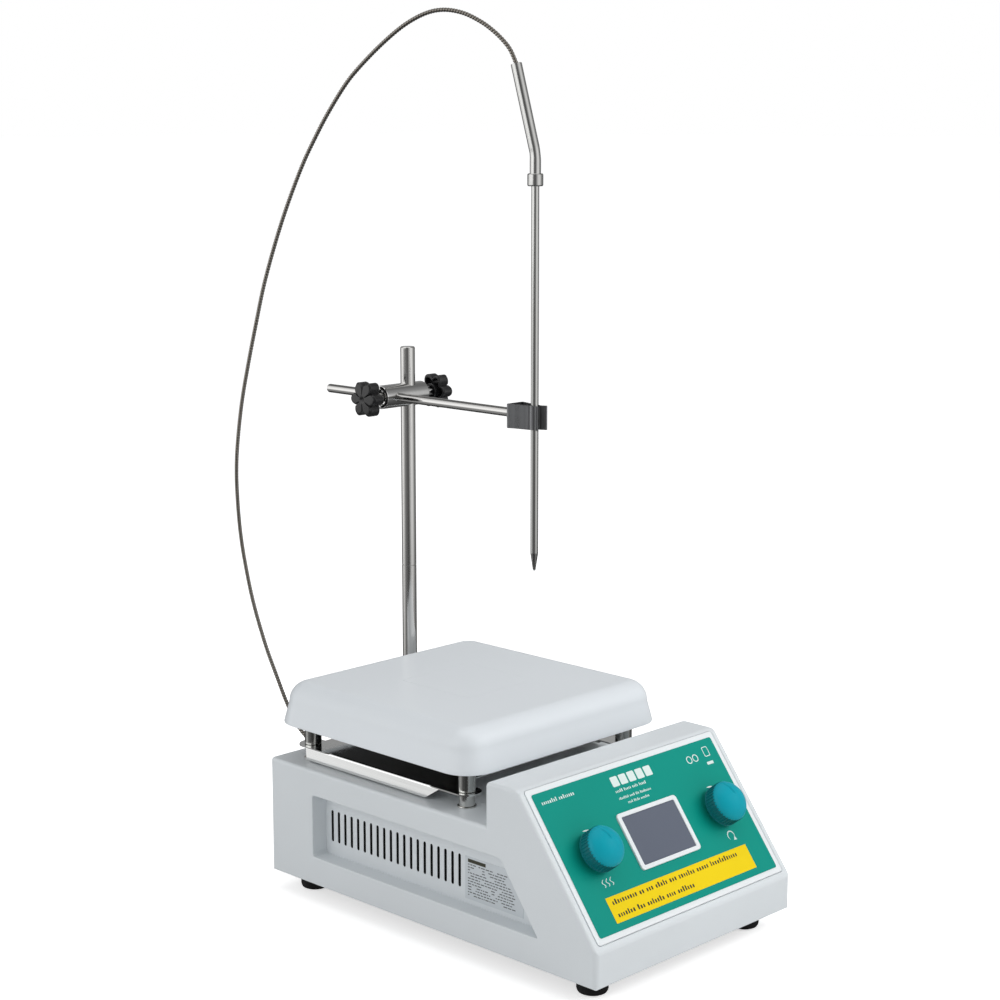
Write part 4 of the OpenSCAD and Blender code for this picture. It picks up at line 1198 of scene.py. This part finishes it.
def make_clamp_side(name, start, turn, reach, tip_body, grip_body, nodes):
    """Pad, screw and grip of one clamp screw, from the pad's tip outwards."""
    pad_node, screw_node, grip_node = nodes
    place = at(start, ROD_Y, BOSS_Z, turn)
    pad = turned(name + "_soft_pad", [(0, 0.2), (2.5, 0.2), (2.8, 0.5), (2.8, 1.6), (0, 1.6)], place, 32)
    settle(pad, tip_body, BRASS, [pad_node])
    screw_bar = thread(name + "_clamp_screw", 1.6, reach + 4, place)
    settle(screw_bar, tip_body, THREAD_STEEL, [screw_node], sharp=70)
    grip = star_grip(name + "_star_grip")
    grip.data.transform(place @ at(0, 0, reach, Matrix.Rotation(math.radians(30), 4, "Z")))
    settle(grip, grip_body, GRIP_BLACK, [grip_node], sharp=42, weighted=False)


def make_arm():
    arm = turned("cross_arm_bar", [
        (0, ARM_FRONT), (2.7, ARM_FRONT), (3, ARM_FRONT + 0.3), (3, ARM_REAR - 0.7),
        (2.8, ARM_REAR - 0.2), (2.5, ARM_REAR), (0, ARM_REAR),
    ], at(ARM_X, 0, BOSS_Z, FACING_Y), 56)
    settle(arm, "arm", ARM_STAINLESS, ["cross_arm"])


def bent(points, radius):
    """Open line with rounded bends."""
    steps = 6
    out = [Vector(points[0])]
    for i in range(1, len(points) - 1):
        here, before, after = Vector(points[i]), Vector(points[i - 1]), Vector(points[i + 1])
        room = min(radius, (before - here).length / 2.1, (after - here).length / 2.1)
        a = here + (before - here).normalized() * room
        b = here + (after - here).normalized() * room
        for k in range(steps + 1):
            t = k / steps
            out.append(a * (1 - t) ** 2 + here * 2 * t * (1 - t) + b * t ** 2)
    out.append(Vector(points[-1]))
    return out


def strip_outline(line, thick):
    """Outline of a sheet of even thickness that follows the line."""
    left, right = [], []
    for i, p in enumerate(line):
        way = (line[min(i + 1, len(line) - 1)] - line[max(i - 1, 0)]).normalized()
        off = Vector((-way.y, way.x)) * thick / 2
        left.append(tuple(p + off))
        right.append(tuple(p - off))
    return left + right[::-1]


def make_clip():
    """Spring clip of one bent strip: base, converging sides, round seat and flared lips."""
    deep = PROBE_Y - ARM_FRONT
    seat = []
    for k in range(11):
        a = math.radians(58 - 106 * k / 10)
        seat.append((3.06 * math.cos(a), deep + 3.06 * math.sin(a)))
    half = [(7.3, -0.5), (seat[0][0] + 0.5, seat[0][1] + 0.9)]
    half = [(0.0, -0.5)] + half + seat + [(2.25, deep - 3.6), (3.7, deep - 6.3), (4.4, deep - 6.6)]
    right = bent(half, 1.3)
    left = [Vector((-p.x, p.y)) for p in right[:0:-1]]
    outline = strip_outline(left + right, 1.0)
    clip = prism("probe_clip_strip", outline, 292.5, 308.0, at(ARM_X, ARM_FRONT, 0))
    soften(clip, 0.22, 2, 40)
    return settle(clip, "arm", CLIP_GREY, ["probe_clip"], sharp=35)


# ---------- probe ----------

def make_probe():
    """Pointed tube with a collar, and a handle that bends into the cable's plane."""
    tip = 201.0
    stem = turned("stem", [
        (0, tip), (0.35, tip + 0.05), (0.7, tip + 0.35), (0.95, tip + 1.0), (2.2, tip + 9.6),
        (2.42, tip + 10.8), (2.5, tip + 12.0), (2.5, 445.2), (4.4, 445.2), (4.85, 445.5), (5.0, 446.0),
        (5.0, 452.0), (4.85, 452.6), (4.4, 453.0), (3.4, 453.0), (0, 453.0),
    ], at(ARM_X, PROBE_Y, 0), 56)
    lean = math.radians(13.5)
    bend_z, end_z = 465.0, 520.0
    line, radii = [], []
    for z in (452.5, 457.0, 461.0):
        line.append(in_cable_plane(0, z))
        radii.append(3.5)
    for k in range(7):
        a = lean * k / 6
        r = 4.0 / math.tan(lean / 2)
        line.append(in_cable_plane(r * (1 - math.cos(a)), bend_z - 4.0 + r * math.sin(a)))
        radii.append(3.5 - 0.12 * math.sin(math.pi * k / 6))
    top_t = (end_z - bend_z) * math.tan(lean)
    for share in (0.3, 0.6, 0.9):
        line.append(in_cable_plane(top_t * share, bend_z + (end_z - bend_z) * share))
        radii.append(3.5)
    end = in_cable_plane(top_t, end_z)
    way = (end - in_cable_plane(0, bend_z)).normalized()
    for back, r in ((0.35, 3.5), (0.1, 3.38), (0.0, 3.1), (0.0, 2.6), (0.3, 2.35), (5.0, 2.35), (5.0, 0.0)):
        line.append(end - way * back)
        radii.append(r)
    side = Vector((-math.sin(CABLE_AZ), math.cos(CABLE_AZ), 0.0))
    rings = []
    for i, (p, r) in enumerate(zip(line, radii)):
        if i >= len(line) - 7:
            heading = way
        else:
            heading = (line[i + 1] - line[max(i - 1, 0)]).normalized()
        up = heading.cross(side).normalized()
        rings.append([p + r * (math.cos(2 * math.pi * k / 48) * side + math.sin(2 * math.pi * k / 48) * up)
                      for k in range(48)])
    handle = loft("handle", rings)
    probe = gather("probe_stem", stem, handle)
    return settle(probe, "probe_assembly", PROBE_STAINLESS, ["probe"], sharp=40)


# ---------- label in the left recess ----------

def make_label_print():
    """Rows of fine dashes below one plain bar, in place of the print."""
    draw = random.Random(3)
    x = -RECESS_FLOOR - 0.22
    bar = block("label_bar", (x - 0.05, 99.5, 45.0), (x, 114.5, 47.2))
    settle(bar, "base", PRINT_DARK, weighted=False)
    marks = []
    for row in range(12):
        z = 43.4 - row * 1.75
        y = 114.5
        end = 84.0 - min(row, 6) * 1.2
        while y > end:
            wide = draw.uniform(0.8, 3.2)
            if draw.random() < 0.82:
                marks.append(block("mark", (x - 0.05, y - wide, z), (x, y, z + 0.62)))
            y -= wide + 0.7
    settle(gather("label_print", *marks), "base", PRINT_GREY, weighted=False)


# ---------- CAD nodes that show as they are ----------

CAD_FINISHES = {
    "bottom_cover": COVER_PAINT, "display_module": MODULE_BLACK, "heat_potentiometer": CAN_METAL,
    "stir_potentiometer": CAN_METAL, "control_board": PCB_GREEN, "power_board": PCB_GREEN,
    "transformer": CORE_BROWN, "heat_sink": ALUMINIUM, "rating_label": LABEL_FILM,
    "heater_element": MICA, "insulation_pad": FIBRE, "plate_cover": RIM_BLACK,
    "plate_sensor": ALUMINIUM, "pillar_screws": SCREW_STEEL, "stir_motor": MOTOR_PAINT,
    "motor_bracket": ZINC, "motor_standoffs": BRASS, "motor_shaft": SHAFT_STEEL,
    "magnet_holder": HOLDER, "drive_magnets": MAGNET, "fuse": FUSE_GLASS,
}


def finish_cad_nodes():
    for node, material in CAD_FINISHES.items():
        mesh = cad_nodes[node].data
        if len(mesh.materials) == 0:
            mesh.materials.append(material)
        for i in range(len(mesh.materials)):
            cad_nodes[node].material_slots[i].link = "OBJECT"
            cad_nodes[node].material_slots[i].material = material


# ---------- studio ----------

# Light that the floor adds to what the camera sees of it, so that it comes out white.
FLOOR_LIFT = 0.62
FLOOR_REACH = 40.0
FLOOR_Z = -0.0005
ROOM_STRENGTH = 0.48
MIRRORED_STRENGTH = 1.3


def area_light(name, place, target, size, power):
    data = bpy.data.lights.new(name, "AREA")
    data.shape = "RECTANGLE"
    data.size, data.size_y = size
    data.energy = power
    light = new_object(name, data)
    light.location = place
    light.rotation_euler = (Vector(target) - Vector(place)).to_track_quat("-Z", "Y").to_euler()
    return light


def tone_ramp(tree, value, stops):
    """Grey tones at the given stops of a value between 0 and 1."""
    ramp = add_node(tree, "ShaderNodeValToRGB", {"Fac": value})
    while len(ramp.color_ramp.elements) < len(stops):
        ramp.color_ramp.elements.new(0.5)
    for element, (place, tone) in zip(ramp.color_ramp.elements, stops):
        element.position = place
        element.color = (tone, tone, tone, 1.0)
    return ramp.outputs["Color"]


def make_floor():
    """Pale floor that reflections don't see."""
    material = bpy.data.materials.new("pale_floor")
    material.use_nodes = True
    tree = material.node_tree
    shader = tree.nodes["Principled BSDF"]
    seen = tree.nodes.new("ShaderNodeLightPath").outputs["Is Camera Ray"]
    for key, value in (
        ("Base Color", (0.86, 0.86, 0.86, 1.0)), ("Roughness", 0.95), ("Specular IOR Level", 0.1),
        ("Emission Color", (1, 1, 1, 1)), ("Emission Strength", maths(tree, "MULTIPLY", seen, FLOOR_LIFT)),
    ):
        feed(tree, shader.inputs[key], value)
    mesh = bpy.data.meshes.new("floor")
    corners = ((-1, -1), (1, -1), (1, 1), (-1, 1))
    mesh.from_pydata([(x * FLOOR_REACH, y * FLOOR_REACH, FLOOR_Z) for x, y in corners], [], [(0, 1, 2, 3)])
    mesh.materials.append(material)
    floor = new_object("floor", mesh)
    floor.visible_glossy = False


def mirrored_room(tree):
    """What reflections see: bright panels with dark gaps round the object and a darker floor."""
    heading = tree.nodes.new("ShaderNodeTexCoord").outputs["Generated"]
    split = add_node(tree, "ShaderNodeSeparateXYZ", {0: heading})
    azimuth = maths(tree, "ARCTAN2", split.outputs["Y"], split.outputs["X"])
    turns = maths(tree, "ADD", maths(tree, "MULTIPLY", azimuth, 1 / (2 * math.pi)), 0.5)
    panels = tone_ramp(tree, turns, [
        (0.0, 0.24), (0.05, 0.18), (0.13, 0.1), (0.18, 0.4), (0.23, 0.85), (0.28, 1.0), (0.33, 0.85),
        (0.39, 0.35), (0.46, 0.2), (0.55, 0.2), (0.62, 0.3), (0.7, 0.14), (0.77, 0.14), (0.83, 1.15),
        (0.89, 1.15), (0.95, 0.45), (1.0, 0.24),
    ])
    height = maths(tree, "ADD", maths(tree, "MULTIPLY", split.outputs["Z"], 0.5), 0.5)
    rise = tone_ramp(tree, height, [
        (0.0, 0.25), (0.36, 0.25), (0.41, 0.8), (0.46, 1.0), (0.62, 1.0), (0.75, 0.75), (1.0, 0.75),
    ])
    both = add_node(tree, "ShaderNodeMix", {"Factor": 1.0, "A": panels, "B": rise},
                    data_type="RGBA", blend_type="MULTIPLY")
    return both.outputs["Result"]


def make_world():
    """A plain room for light, a mirrored room for reflections and white for the camera."""
    world = bpy.data.worlds.new("studio")
    scene.world = world
    world.use_nodes = True
    tree = world.node_tree
    tree.nodes.clear()
    seen = tree.nodes.new("ShaderNodeLightPath").outputs
    room = add_node(tree, "ShaderNodeBackground",
                    {"Color": (0.98, 0.99, 1.0, 1.0), "Strength": ROOM_STRENGTH})
    mirrored = add_node(tree, "ShaderNodeBackground",
                        {"Color": mirrored_room(tree), "Strength": MIRRORED_STRENGTH})
    sweep = add_node(tree, "ShaderNodeBackground", {"Color": (1, 1, 1, 1)})
    by_gloss = add_node(tree, "ShaderNodeMixShader",
                        {"Fac": seen["Is Glossy Ray"], 1: room.outputs[0], 2: mirrored.outputs[0]})
    by_camera = add_node(tree, "ShaderNodeMixShader",
                         {"Fac": seen["Is Camera Ray"], 1: by_gloss.outputs[0], 2: sweep.outputs[0]})
    add_node(tree, "ShaderNodeOutputWorld", {"Surface": by_camera.outputs[0]})


def make_studio():
    make_floor()
    key = area_light("key", (0.9, -1.5, 1.3), (0, -0.05, 0.15), (1.6, 1.2), 22.0)
    key.visible_glossy = False
    area_light("left_fill", (-1.8, 0.3, 0.9), (0, 0, 0.15), (1.6, 1.4), 8.2)
    area_light("overhead", (0.1, 0.3, 2.1), (0, 0, 0.1), (1.8, 1.8), 6.2)
    make_world()
    scene.view_settings.view_transform = "Standard"


make_housing()
make_feet()
make_base_screws()
make_panel()
make_dial("heat_dial", -1, "heat_dial", "heat_knob")
make_dial("stir_dial", 1, "stir_dial", "stir_knob")
make_plate()
make_pillars()
make_shield()
make_rear()
make_rod()
make_boss()
make_clamp_side("rod", ROD_X + 5, FACING_X, 15.5, "rod_clamp_screw", "rod_clamp_knob",
                ("rod_pad", "rod_screw", "rod_knob"))
make_clamp_side("arm", ARM_X - 3, FACING_MINUS_X, 12.0, "arm_clamp_screw", "arm_clamp_knob",
                ("arm_pad", "arm_screw", "arm_knob"))
make_arm()
make_clip()
make_probe()
make_label_print()
finish_cad_nodes()
make_studio()
